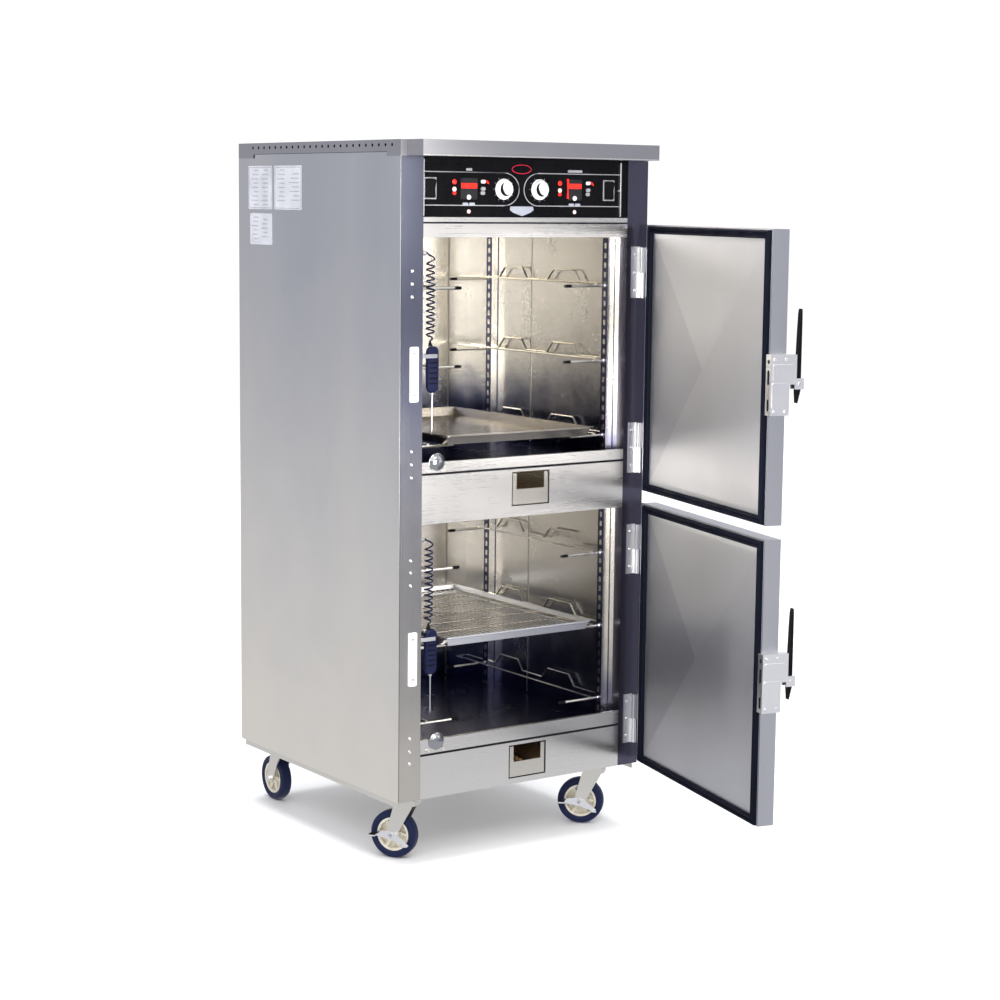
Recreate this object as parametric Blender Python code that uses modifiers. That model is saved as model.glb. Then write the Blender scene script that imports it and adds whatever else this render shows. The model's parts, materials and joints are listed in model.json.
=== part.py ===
"""Two-cavity holding and proofing cabinet on casters, with its doors standing open.

Metres, +Z up. The cabinet is laid out with X across (right positive), Y = 0 on the front face of
its corner posts and growing to the back, and Z = 0 on the floor. At the end one root empty moves
everything, so that the origin is the bottom centre of the bounding box.
"""

import math

import bmesh
import bpy
from mathutils import Matrix, Vector

GAP = 0.0003                 # between pieces that touch

# Cabinet body
BODY_WIDTH = 0.776
BODY_DEPTH = 0.826
BODY_BOTTOM = 0.177
BODY_TOP = 1.806
SKIN = 0.002                 # outer sheet thickness
LINER = 0.0015               # inner sheet thickness
HALF = BODY_WIDTH / 2
OPENING = 0.321              # half width of the door openings
CAP_HEIGHT = 0.040
CAP_OVERHANG = 0.070
VISOR_HALF = 0.368
SKIRT_NOTCH = (0.065, 0.735)             # where the side sheets rise behind the cap's skirts
NOTCH_HEIGHT = 0.010

# Cavities: the lower one repeats the upper one
UPPER_FLOOR = 1.020
UPPER_CEILING = 1.607
LOWER_FLOOR = 0.300
LOWER_CEILING = 0.888
JAMB_DEPTH = 0.030
CAVITY_BACK = 0.742
CAVITY_PITCH = UPPER_FLOOR - LOWER_FLOOR
SLIDE_LEVELS = (0.064, 0.264, 0.464)     # heights of the slide wires above a cavity floor
ROD_RADIUS = 0.004
ROD_DROP = 0.006                         # how far the cross rods lie below the slide wires

# Front rails and sills
RAIL_TOP = {"upper": 1.012, "lower": 0.289}
RAIL_BOTTOM = {"upper": LOWER_CEILING, "lower": BODY_BOTTOM}
SILL_TOP = {"upper": 1.045, "lower": 0.330}
FLOOR = {"upper": UPPER_FLOOR, "lower": LOWER_FLOOR}
HEADER_TOP = 1.657

# Doors
DOOR_LEFT = -0.333
DOOR_RIGHT = 0.361
DOOR_HEIGHT = 0.708
DOOR_BOTTOM = {"upper": 0.932, "lower": 0.190}
DOOR_FACE = -0.0125          # inner face of a closed door
DOOR_OUTSIDE = -0.058
DOOR_OPEN = math.radians(76.5)
HINGE_AXIS = (0.369, -0.008)
HINGE_HEIGHTS = (0.048, 0.515)           # above the bottom of the door
HINGE_LENGTH = 0.135
GASKET_WIDTH = 0.020

# Latches
LATCH_LEFT = -0.358
LATCH_RIGHT = DOOR_LEFT - GAP
LATCH_HEIGHT = {"upper": 1.268, "lower": 0.546}
LEVER_PIVOT_Y = -0.083
LEVER_PIVOT_RISE = 0.007

# Chip drawers
DRAWER_CENTRE = 0.017
DRAWER_HALF = 0.056
DRAWER_LENGTH = 0.245
DRAWER_HEIGHT = 0.082
WINDOW_BOTTOM = {"upper": 0.916, "lower": 0.192}
WINDOW_HEIGHT = 0.089
WINDOW_SIDE = 0.004

# Pans
PAN_WIDTH = 0.470
PAN_LENGTH = 0.660
PAN_HEIGHT = 0.025
PAN_FRONT = {"upper": 0.021, "lower": 0.012}
PAN_LEVEL = {"upper": 0, "lower": 1}     # which slide level carries the pan

# Controls
KNOB_X = {"left": -0.075, "right": 0.037}
KNOB_RADIUS = 0.0265
SWITCH_X = {"left": -0.299, "right": 0.260}
SWITCH_HALF = (0.0145, 0.0210)           # half width and half height of a rocker
CONTROL_HEIGHT = 1.728
FASCIA_FRONT = 0.006

# Probe on the left jamb of each cavity, measured from the cavity floor
PROBE_Y = 0.012
PROBE_EXIT = 0.548
PROBE_COIL = (0.523, 0.347)
PROBE_GRIP = (0.317, 0.199)
PROBE_X = -0.291

# Casters
WHEEL_RADIUS = 0.0635
WHEEL_WIDTH = 0.032
CASTER_TRAIL = 0.038
CASTER_TOP = 0.1694
CASTERS = {                              # swivel axis, and the way that the wheel trails from it
    "front_left": (-0.305, 0.080, math.radians(122.7)),
    "front_right": (0.305, 0.080, math.radians(133)),
    "rear_left": (-0.305, 0.735, math.radians(90)),
    "rear_right": (0.305, 0.735, math.radians(90)),
}

ALONG_X = Matrix(((0, 0, 1, 0), (1, 0, 0, 0), (0, 1, 0, 0), (0, 0, 0, 1)))   # outline in Y, Z
ALONG_Z = Matrix.Identity(4)                                                # outline in X, Y
ALONG_Y = Matrix(((1, 0, 0, 0), (0, 0, -1, 0), (0, 1, 0, 0), (0, 0, 0, 1)))  # outline in X, Z


# ---------------------------------------------------------------- scene and materials

def clear_scene():
    for obj in list(bpy.data.objects):
        bpy.data.objects.remove(obj, do_unlink=True)


def new_collection(name):
    collection = bpy.data.collections.new(name)
    bpy.context.scene.collection.children.link(collection)
    return collection


def material(name, colour, roughness, metallic):
    mat = bpy.data.materials.new(name)
    mat.use_nodes = True
    shader = mat.node_tree.nodes["Principled BSDF"]
    shader.inputs["Base Color"].default_value = (*colour, 1)
    shader.inputs["Roughness"].default_value = roughness
    shader.inputs["Metallic"].default_value = metallic
    mat.diffuse_color = (*colour, 1)
    return mat


clear_scene()
PARTS = new_collection("proofing_cabinet")
TOOLS = new_collection("cutters")

STEEL = material("brushed_steel", (0.62, 0.62, 0.64), 0.32, 1.0)
LINER_STEEL = material("liner_steel", (0.55, 0.55, 0.55), 0.22, 1.0)
CHROME = material("chrome", (0.80, 0.80, 0.80), 0.12, 1.0)
WIRE = material("rack_wire", (0.70, 0.68, 0.62), 0.25, 1.0)
ALUMINIUM = material("pan_aluminium", (0.75, 0.76, 0.78), 0.35, 1.0)
BLACK = material("black_panel", (0.01, 0.01, 0.012), 0.30, 0.0)
RUBBER = material("gasket_rubber", (0.015, 0.016, 0.03), 0.60, 0.0)
LEVER_BLACK = material("lever_plastic", (0.012, 0.012, 0.014), 0.40, 0.0)
TYRE = material("caster_tyre", (0.01, 0.03, 0.12), 0.50, 0.0)
NAVY = material("probe_plastic", (0.012, 0.02, 0.09), 0.35, 0.0)
WOOL = material("insulation", (0.80, 0.74, 0.45), 0.95, 0.0)
HEATER = material("heater_sheath", (0.25, 0.22, 0.20), 0.45, 1.0)


# ---------------------------------------------------------------- shape helpers

def place(obj, name, mat=None, parent=None):
    """Names a shape, gives it its finish, and hangs it on a pivot or leaves it for the root."""
    obj.name = name
    obj.data.name = name
    if mat:
        obj.data.materials.clear()
        obj.data.materials.append(mat)
        TOOLS.objects.unlink(obj)
        PARTS.objects.link(obj)
        obj.hide_render = False
        obj.display_type = "TEXTURED"
    if parent:
        obj.parent = parent
        obj.matrix_parent_inverse = Matrix.Translation(parent.matrix_world.translation).inverted()
    return obj


def tool_object(name, data):
    obj = bpy.data.objects.new(name, data)
    TOOLS.objects.link(obj)
    obj.hide_render = True
    obj.display_type = "WIRE"
    return obj


def box(low, high):
    mesh = bpy.data.meshes.new("box")
    bm = bmesh.new()
    bmesh.ops.create_cube(bm, size=1)
    size = [b - a for a, b in zip(low, high)]
    bmesh.ops.scale(bm, vec=size, verts=bm.verts)
    bm.to_mesh(mesh)
    bm.free()
    obj = tool_object("box", mesh)
    obj.location = [(a + b) / 2 for a, b in zip(low, high)]
    return obj


def open_box(low, high, thickness, open_axis, open_sign, outward):
    """A box of sheet metal without the face on one side."""
    obj = box(low, high)
    bm = bmesh.new()
    bm.from_mesh(obj.data)
    for face in list(bm.faces):
        if face.normal[open_axis] * open_sign > 0.5:
            bm.faces.remove(face)
    bm.to_mesh(obj.data)
    bm.free()
    solid = obj.modifiers.new("Sheet", "SOLIDIFY")
    solid.thickness = thickness
    solid.offset = 1 if outward else -1
    solid.use_even_offset = True
    return obj


def cylinder(centre, axis, radius, length, sides=16, top_radius=None):
    mesh = bpy.data.meshes.new("cylinder")
    bm = bmesh.new()
    end = radius if top_radius is None else top_radius
    bmesh.ops.create_cone(bm, cap_ends=True, segments=sides, radius1=radius, radius2=end, depth=length)
    bm.to_mesh(mesh)
    bm.free()
    obj = tool_object("cylinder", mesh)
    turn = {"X": (0, math.pi / 2, 0), "Y": (-math.pi / 2, 0, 0), "Z": (0, 0, 0)}[axis]
    obj.rotation_euler = turn
    obj.location = centre
    return obj


def mesh_from_curve(curve_object):
    """Turns a curve object into a closed mesh object with its caps welded on."""
    bpy.context.view_layer.update()
    graph = bpy.context.evaluated_depsgraph_get()
    mesh = bpy.data.meshes.new_from_object(curve_object.evaluated_get(graph))
    bm = bmesh.new()
    bm.from_mesh(mesh)
    bmesh.ops.remove_doubles(bm, verts=bm.verts, dist=0.00001)
    bmesh.ops.recalc_face_normals(bm, faces=bm.faces)
    bm.to_mesh(mesh)
    bm.free()
    obj = tool_object(curve_object.name, mesh)
    obj.matrix_world = curve_object.matrix_world
    bpy.data.objects.remove(curve_object, do_unlink=True)
    return obj


def outline_solid(outlines, orientation, start, end):
    """Closed outlines in a plane, the first one filled and the others holes, made thick."""
    curve = bpy.data.curves.new("outline", "CURVE")
    curve.dimensions = "2D"
    curve.fill_mode = "BOTH"
    curve.extrude = (end - start) / 2
    for points in outlines:
        spline = curve.splines.new("POLY")
        spline.points.add(len(points) - 1)
        for point, (u, v) in zip(spline.points, points):
            point.co = (u, v, 0, 1)
        spline.use_cyclic_u = True
    obj = bpy.data.objects.new("outline", curve)
    TOOLS.objects.link(obj)
    middle = (start + end) / 2
    if orientation is ALONG_Y:
        middle = -middle
    obj.matrix_world = orientation @ Matrix.Translation((0, 0, middle))
    return mesh_from_curve(obj)


def rectangle(low_u, low_v, high_u, high_v):
    return [(low_u, low_v), (high_u, low_v), (high_u, high_v), (low_u, high_v)]


def rounded_rectangle(low_u, low_v, high_u, high_v, radius, steps=4):
    corners = [(high_u, low_v, -90), (high_u, high_v, 0), (low_u, high_v, 90), (low_u, low_v, 180)]
    points = []
    for u, v, first in corners:
        centre_u = u - math.copysign(radius, u - (low_u + high_u) / 2)
        centre_v = v - math.copysign(radius, v - (low_v + high_v) / 2)
        for step in range(steps + 1):
            angle = math.radians(first + 90 * step / steps)
            points.append((centre_u + radius * math.cos(angle), centre_v + radius * math.sin(angle)))
    return points


def folded_sheet(path, thickness, orientation, start, end):
    """Sheet metal bent along an open path in a plane. The sheet lies to the right of the path."""
    inner = []
    for index, point in enumerate(path):
        normals = []
        for a, b in ((index - 1, index), (index, index + 1)):
            if a >= 0 and b < len(path):
                along = (Vector(path[b]) - Vector(path[a])).normalized()
                normals.append(Vector((along.y, -along.x)))
        if len(normals) == 1:
            shift = normals[0]
        else:
            shift = (normals[0] + normals[1]) / (1 + normals[0].dot(normals[1]))
        inner.append(tuple(Vector(point) + shift * thickness))
    return outline_solid([list(path) + inner[::-1]], orientation, start, end)


def rod(points, radius, radii=None, resolution=1):
    """A round bar or tube along a list of points."""
    curve = bpy.data.curves.new("rod", "CURVE")
    curve.dimensions = "3D"
    curve.bevel_depth = radius
    curve.bevel_resolution = resolution
    curve.use_fill_caps = True
    spline = curve.splines.new("POLY")
    spline.points.add(len(points) - 1)
    for index, (point, where) in enumerate(zip(spline.points, points)):
        point.co = (*where, 1)
        point.radius = radii[index] if radii else 1
    obj = bpy.data.objects.new("rod", curve)
    TOOLS.objects.link(obj)
    return mesh_from_curve(obj)


def turned(profile, steps, matrix):
    """A profile of (radius, height) pairs, from top to bottom, turned about its own Z axis."""
    mesh = bpy.data.meshes.new("turned")
    ring = profile[0] == profile[-1]
    points = [(r, 0, z) for r, z in (profile[:-1] if ring else profile)]
    edges = [(i, i + 1) for i in range(len(points) - 1)]
    if ring:
        edges.append((len(points) - 1, 0))
    mesh.from_pydata(points, edges, [])
    obj = tool_object("turned", mesh)
    screw = obj.modifiers.new("Turn", "SCREW")
    screw.steps = steps
    screw.render_steps = steps
    screw.use_merge_vertices = True
    screw.merge_threshold = 0.00001
    obj.matrix_world = matrix
    return obj


def combine(target, others, operation):
    """Joins other shapes to the target, or cuts them from it, and removes them."""
    group = new_collection("operands")
    for other in others:
        group.objects.link(other)
    modifier = target.modifiers.new(operation.title(), "BOOLEAN")
    modifier.operation = operation
    modifier.solver = "EXACT"
    modifier.operand_type = "COLLECTION"
    modifier.collection = group
    bpy.context.view_layer.update()
    graph = bpy.context.evaluated_depsgraph_get()
    mesh = bpy.data.meshes.new_from_object(target.evaluated_get(graph))
    target.modifiers.clear()
    target.data = mesh
    for other in others:
        bpy.data.objects.remove(other, do_unlink=True)
    bpy.data.collections.remove(group)
    return target


def joined(target, *others):
    return combine(target, others, "UNION")


def cut(target, *others):
    return combine(target, others, "DIFFERENCE")


def mirrored_copy(source):
    """The same piece on the other side of the cabinet."""
    mesh = source.data.copy()
    mesh.transform(source.matrix_basis)
    mesh.transform(Matrix.Scale(-1, 4, (1, 0, 0)))
    mesh.flip_normals()
    return tool_object("mirrored", mesh)


def raised_copy(source, rise):
    obj = tool_object("copy", source.data.copy())
    obj.matrix_basis = Matrix.Translation((0, 0, rise)) @ source.matrix_basis
    return obj


def pivot(name, location, parent=None):
    empty = bpy.data.objects.new(name, None)
    TOOLS.objects.link(empty)
    empty.empty_display_size = 0.03
    empty.location = location
    if parent:
        empty.parent = parent
        empty.matrix_parent_inverse = Matrix.Translation(parent.matrix_world.translation).inverted()
    bpy.context.view_layer.update()
    return empty


# ---------------------------------------------------------------- cabinet body

def make_outer_shell():
    path = [(-HALF, 0), (-HALF, BODY_DEPTH), (HALF, BODY_DEPTH), (HALF, 0)]
    wrap = folded_sheet(path, SKIN, ALONG_Z, BODY_BOTTOM, BODY_TOP)
    front, back = (edge + GAP * sign for edge, sign in zip(SKIRT_NOTCH, (1, -1)))
    tongues = [
        box((x, front, BODY_TOP - 0.010), (x + SKIN, back, BODY_TOP + NOTCH_HEIGHT))
        for x in (-HALF, HALF - SKIN)
    ]
    place(joined(wrap, *tongues), "cabinet_wrap", STEEL)

    outside = HALF - SKIN - GAP - 0.0002
    post = [(-outside, JAMB_DEPTH), (-outside, 0), (-OPENING, 0), (-OPENING, JAMB_DEPTH)]
    left = folded_sheet(post[::-1], SKIN, ALONG_Z, BODY_BOTTOM, BODY_TOP)
    place(mirrored_copy(left), "right_post", STEEL)
    place(left, "left_post", STEEL)


def make_top_cap():
    bottom = BODY_TOP + GAP
    top = BODY_TOP + CAP_HEIGHT
    front = -CAP_OVERHANG
    visor = VISOR_HALF
    cap = box((-HALF, 0, bottom), (HALF, BODY_DEPTH, top))
    joined(cap, box((-visor, front, bottom), (visor, 0.010, top)))
    inside = box((-HALF + SKIN, SKIN, bottom + SKIN), (HALF - SKIN, BODY_DEPTH - SKIN, top - SKIN))
    joined(inside, box((-visor + SKIN, front + SKIN, bottom + SKIN), (visor - SKIN, 0.010, top - SKIN)))
    underside = box((-HALF + 0.018, 0.010, bottom - 0.01), (HALF - 0.018, BODY_DEPTH - 0.018, bottom + 0.005))
    notches = [
        box((x, SKIRT_NOTCH[0], bottom - 0.01), (x + 0.018, SKIRT_NOTCH[1], bottom + NOTCH_HEIGHT))
        for x in (-HALF - 0.015, HALF - 0.003)
    ]
    cut(cap, inside, underside, *notches)
    vents = 24
    first, last = 0.040, 0.745
    holes = [
        cylinder((0, first + (last - first) * i / (vents - 1), 1.833), "X", 0.0045, BODY_WIDTH + 0.02, 6)
        for i in range(vents)
    ]
    place(cut(cap, *holes), "top_cap", STEEL)


def make_base():
    low, high = 0.1741, BODY_BOTTOM - GAP
    half = HALF - 0.008
    lip = 0.014
    path = [(-half, low - lip), (-half, high), (half, high), (half, low - lip)]
    base = folded_sheet(path, high - low, ALONG_Y, 0.010, BODY_DEPTH - 0.010)
    plates = [
        box((x - 0.047, y - 0.036, CASTER_TOP + GAP), (x + 0.047, y + 0.036, low + 0.001))
        for x, y, _ in CASTERS.values()
    ]
    place(joined(base, *plates), "base_frame", STEEL)


def drawer_sleeve(cavity):
    """The outside and the inside of the sheet sleeve that a chip drawer runs in."""
    low = WINDOW_BOTTOM[cavity]
    high = low + WINDOW_HEIGHT
    half = DRAWER_HALF + WINDOW_SIDE
    left, right = DRAWER_CENTRE - half, DRAWER_CENTRE + half
    outside = box((left - LINER, 0.0008, low - LINER), (right + LINER, 0.270, high + LINER))
    inside = box((left, -0.010, low), (right, 0.270 - LINER, high))
    return outside, inside


def make_rail(cavity):
    """A front rail, with its gasket groove, its raised sill and the sleeve of its chip drawer."""
    bottom, top, sill = RAIL_BOTTOM[cavity], RAIL_TOP[cavity], SILL_TOP[cavity]
    groove = 0.006
    seat = FLOOR[cavity] - LINER
    path = [
        (JAMB_DEPTH, bottom), (0, bottom), (0, top), (groove, top), (groove, top + groove),
        (0, top + groove), (0, sill), (0.012, sill), (0.012, seat), (JAMB_DEPTH - GAP, seat),
    ]
    rail = folded_sheet(path, LINER, ALONG_X, -OPENING + GAP, OPENING - GAP)
    outside, inside = drawer_sleeve(cavity)
    joined(rail, outside)
    cut(rail, inside)
    name = {"upper": "mid_rail", "lower": "bottom_rail"}[cavity]
    place(rail, name, STEEL)


def make_header():
    path = [
        (0.012, HEADER_TOP), (0, HEADER_TOP), (0, 1.6455), (0.005, 1.6455), (0.005, 1.630),
        (0, 1.630), (0, UPPER_CEILING), (JAMB_DEPTH, UPPER_CEILING),
    ]
    header = folded_sheet(path[::-1], LINER, ALONG_X, -OPENING + GAP, OPENING - GAP)
    place(header, "header_rail", STEEL)


def make_liner(cavity, floor, ceiling):
    low = (-OPENING, JAMB_DEPTH + GAP, floor)
    high = (OPENING, CAVITY_BACK, ceiling)
    liner = open_box(low, high, LINER, 1, -1, outward=True)
    place(liner, f"{cavity}_liner", LINER_STEEL)


def make_insulation():
    outside = HALF - SKIN - 0.0005
    front, back = 0.035, BODY_DEPTH - SKIN - 0.0005
    path = [(-outside, front), (-outside, back), (outside, back), (outside, front)]
    wool = folded_sheet(path, 0.058, ALONG_Z, 0.185, 1.640)
    place(wool, "insulation_wrap", WOOL)


def make_heater(cavity):
    """A tube element bent to and fro under the cavity floor."""
    height = FLOOR[cavity] - 0.016
    half = 0.25
    runs = 5
    points = []
    for run in range(runs):
        y = 0.33 + 0.09 * run
        ends = (-half, half) if run % 2 == 0 else (half, -half)
        points += [(ends[0], y, height), (ends[1], y, height)]
    place(rod(points, 0.004), f"{cavity}_heater", HEATER)


def make_power_inlet():
    back = BODY_DEPTH + GAP
    plate = box((0.200, back, 1.650), (0.300, back + 0.004, 1.750))
    gland = cylinder((0.250, back + 0.012, 1.700), "Y", 0.014, 0.020, 12)
    place(joined(plate, gland), "power_inlet", BLACK)


# ---------------------------------------------------------------- racks

def make_rack():
    """The right-hand rack of the upper cavity: two slotted uprights and three wire slides."""
    wall = OPENING - GAP
    depth, width = 0.022, 0.026
    front, rear = 0.050, 0.590
    low, high = UPPER_FLOOR + 0.001, UPPER_CEILING - 0.001
    rack = box((wall - depth, front, low), (wall, front + width, high))
    pieces = [box((wall - depth, rear, low), (wall, rear + width, high))]
    inside = wall - depth + 0.004
    rail_x = 0.266
    for rise in SLIDE_LEVELS:
        z = UPPER_FLOOR + rise
        rail_front, rail_back = front + width / 2, 0.700
        rail = [
            (rail_x, rail_front - 0.008, z), (rail_x, rail_back, z),
            (inside, rail_back, z), (inside, rear + width - 0.004, z),
        ]
        pieces.append(rod(rail, 0.003))
        top = z + 0.029
        wave = [
            (inside + 0.006, front + 0.020, z), (inside + 0.006, 0.185, z), (inside + 0.006, 0.210, top),
            (inside + 0.006, 0.307, top), (inside + 0.006, 0.335, z), (inside + 0.006, 0.430, z),
            (inside + 0.006, 0.453, top), (inside + 0.006, 0.537, top), (inside + 0.006, 0.565, z),
            (inside + 0.006, rear + 0.004, z),
        ]
        pieces.append(rod(wave, 0.003))
        for y in (front + width / 2, rear + width / 2):
            pieces.append(cylinder((0.235, y, z - ROD_DROP), "X", ROD_RADIUS, 0.140, 8))
    return joined(rack, *pieces)


def make_racks():
    right = make_rack()
    left = mirrored_copy(right)
    place(raised_copy(right, -CAVITY_PITCH), "lower_right_rack", WIRE)
    place(raised_copy(left, -CAVITY_PITCH), "lower_left_rack", WIRE)
    place(right, "upper_right_rack", WIRE)
    place(left, "upper_left_rack", WIRE)


def make_pan(cavity):
    """A sheet pan: a shallow tapered tray with a rolled-out rim."""
    height = FLOOR[cavity] + SLIDE_LEVELS[PAN_LEVEL[cavity]] - ROD_DROP + ROD_RADIUS + GAP
    front = PAN_FRONT[cavity]
    slide = pivot(f"{cavity}_pan_slide", (0, front, height))
    rim, taper = 0.006, 0.008
    sheet = 0.0012
    half = PAN_WIDTH / 2 - rim
    low = (-half, front + rim, height + sheet)
    high = (half, front + PAN_LENGTH - rim, height + PAN_HEIGHT)
    pan = box(low, high)
    bm = bmesh.new()
    bm.from_mesh(pan.data)
    top = max(v.co.z for v in bm.verts)
    for face in list(bm.faces):
        if face.normal.z > 0.5:
            bm.faces.remove(face)
    for vert in bm.verts:
        if vert.co.z < 0:
            vert.co.x -= math.copysign(taper, vert.co.x)
            vert.co.y -= math.copysign(taper, vert.co.y)
    edges = [e for e in bm.edges if all(abs(v.co.z - top) < 1e-6 for v in e.verts)]
    lip = bmesh.ops.extrude_edge_only(bm, edges=edges)["geom"]
    for vert in lip:
        if isinstance(vert, bmesh.types.BMVert):
            vert.co.x += math.copysign(rim, vert.co.x)
            vert.co.y += math.copysign(rim, vert.co.y)
    bm.to_mesh(pan.data)
    bm.free()
    solid = pan.modifiers.new("Sheet", "SOLIDIFY")
    solid.thickness = sheet
    solid.offset = 1
    place(pan, f"{cavity}_pan", ALUMINIUM, slide)


def make_chip_drawer(cavity):
    """A small open tray for wood chips, with a low front."""
    low = WINDOW_BOTTOM[cavity] + 0.003
    front = 0.0015
    slide = pivot(f"{cavity}_drawer_slide", (DRAWER_CENTRE, front, low))
    left, right = DRAWER_CENTRE - DRAWER_HALF, DRAWER_CENTRE + DRAWER_HALF
    drawer = open_box((left, front, low), (right, front + DRAWER_LENGTH, low + DRAWER_HEIGHT), 0.0012, 2, 1, False)
    dip = box((left + 0.012, front - 0.01, low + 0.040), (right - 0.012, front + 0.01, low + 0.1))
    place(cut(drawer, dip), f"{cavity}_chip_drawer", LINER_STEEL, slide)


# ---------------------------------------------------------------- doors and latches

def hinge_fixed_half(cavity, place_name, bottom):
    """The leaf on the right post, with the lower knuckle and the pin."""
    x, y = HINGE_AXIS
    half = HINGE_LENGTH / 2 - 0.0015
    leaf = box((x - 0.032, -0.0023, bottom), (x - 0.0035, -GAP, bottom + HINGE_LENGTH))
    link = box((x - 0.008, y - 0.001, bottom), (x + 0.0035, -GAP, bottom + half))
    knuckle = cylinder((x, y, bottom + half / 2), "Z", 0.0055, half, 12)
    pin = cylinder((x, y, bottom + 0.078), "Z", 0.003, 0.094, 10)
    place(joined(leaf, link, knuckle, pin), f"{cavity}_hinge_{place_name}", CHROME)


def hinge_door_half(bottom):
    """The strap and the upper knuckle that are welded to the door, and the bore for the pin."""
    x, y = HINGE_AXIS
    low = bottom + HINGE_LENGTH / 2 - 0.001
    high = bottom + HINGE_LENGTH - 0.002
    strap = box((DOOR_RIGHT - 0.001, -0.040, low), (DOOR_RIGHT + 0.0015, -0.0150, high))
    link = box((DOOR_RIGHT - 0.0008, -0.0180, low), (x, y - 0.002, high))
    knuckle = cylinder((x, y, (low + high) / 2), "Z", 0.0055, high - low, 12)
    bore = cylinder((x, y, (low + high) / 2 - 0.004), "Z", 0.0035, high - low, 10)
    return (strap, link, knuckle), bore


def make_door(cavity):
    low = DOOR_BOTTOM[cavity]
    high = low + DOOR_HEIGHT
    hinge = pivot(f"{cavity}_door_hinge", (*HINGE_AXIS, low))

    shell = open_box((DOOR_LEFT, DOOR_OUTSIDE, low), (DOOR_RIGHT, DOOR_FACE - 0.002, high), LINER, 1, 1, False)
    straps, bores = [], []
    for name, rise in zip(("bottom", "top"), HINGE_HEIGHTS):
        hinge_fixed_half(cavity, name, low + rise)
        solids, bore = hinge_door_half(low + rise)
        straps += solids
        bores.append(bore)
    joined(shell, *straps)
    cut(shell, *bores)
    place(shell, f"{cavity}_door_shell", STEEL, hinge)

    plate = box((DOOR_LEFT + 0.002, DOOR_FACE - 0.0015, low + 0.002), (DOOR_RIGHT - 0.002, DOOR_FACE, high - 0.002))
    place(plate, f"{cavity}_door_liner", STEEL, hinge)

    left, right = DOOR_LEFT + 0.0015, HINGE_AXIS[0] - 0.035
    outer = rectangle(left, low + 0.003, right, high - 0.003)
    inner = rectangle(left + GASKET_WIDTH, low + 0.003 + GASKET_WIDTH, right - GASKET_WIDTH,
                      high - 0.003 - GASKET_WIDTH)
    gasket = outline_solid([outer, inner], ALONG_Y, DOOR_FACE + GAP, -0.0006)
    place(gasket, f"{cavity}_door_gasket", RUBBER, hinge)

    make_latch(cavity, hinge)
    hinge.rotation_euler.z = DOOR_OPEN


def make_latch(cavity, hinge):
    z = LATCH_HEIGHT[cavity]
    body = box((LATCH_LEFT, -0.055, z - 0.068), (LATCH_RIGHT, -0.004, z + 0.077))
    nose = box((LATCH_LEFT, -0.074, z + 0.006), (LATCH_RIGHT, -0.054, z + 0.077))
    cheek = 0.0042
    cheeks = [
        box((x, -0.094, z - 0.006), (x + cheek, -0.070, z + 0.020))
        for x in (LATCH_LEFT, LATCH_RIGHT - cheek)
    ]
    bore = cylinder(((LATCH_LEFT + LATCH_RIGHT) / 2, LEVER_PIVOT_Y, z + LEVER_PIVOT_RISE), "X", 0.0034, 0.04, 10)
    joined(body, nose, *cheeks)
    place(cut(body, bore), f"{cavity}_latch_housing", CHROME, hinge)

    lever_pivot = pivot(f"{cavity}_lever_pivot", (LATCH_LEFT, LEVER_PIVOT_Y, z + LEVER_PIVOT_RISE), hinge)
    paddle = [
        (-0.0765, z + 0.026), (-0.0765, z + 0.150), (-0.0790, z + 0.186),
        (-0.0850, z + 0.186), (-0.0890, z + 0.150), (-0.0890, z + 0.026),
    ]
    neck = [
        (-0.0765, z + 0.028), (-0.0890, z + 0.028), (-0.0890, z - 0.010),
        (-0.0850, z - 0.040), (-0.0790, z - 0.040), (-0.0765, z - 0.010),
    ]
    lever = outline_solid([paddle], ALONG_X, LATCH_LEFT, LATCH_RIGHT)
    stem = outline_solid([neck], ALONG_X, LATCH_LEFT + 0.005, LATCH_RIGHT - 0.005)
    pin = cylinder(((LATCH_LEFT + LATCH_RIGHT) / 2, LEVER_PIVOT_Y, z + LEVER_PIVOT_RISE), "X", 0.003, 0.0236, 10)
    place(joined(lever, stem, pin), f"{cavity}_latch_lever", LEVER_BLACK, lever_pivot)

    plate = rounded_rectangle(-0.360, z - 0.069, -0.3345, z + 0.069, 0.004, 3)
    place(outline_solid([plate], ALONG_Y, -0.0033, -GAP), f"{cavity}_strike", CHROME)


# ---------------------------------------------------------------- controls

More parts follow.
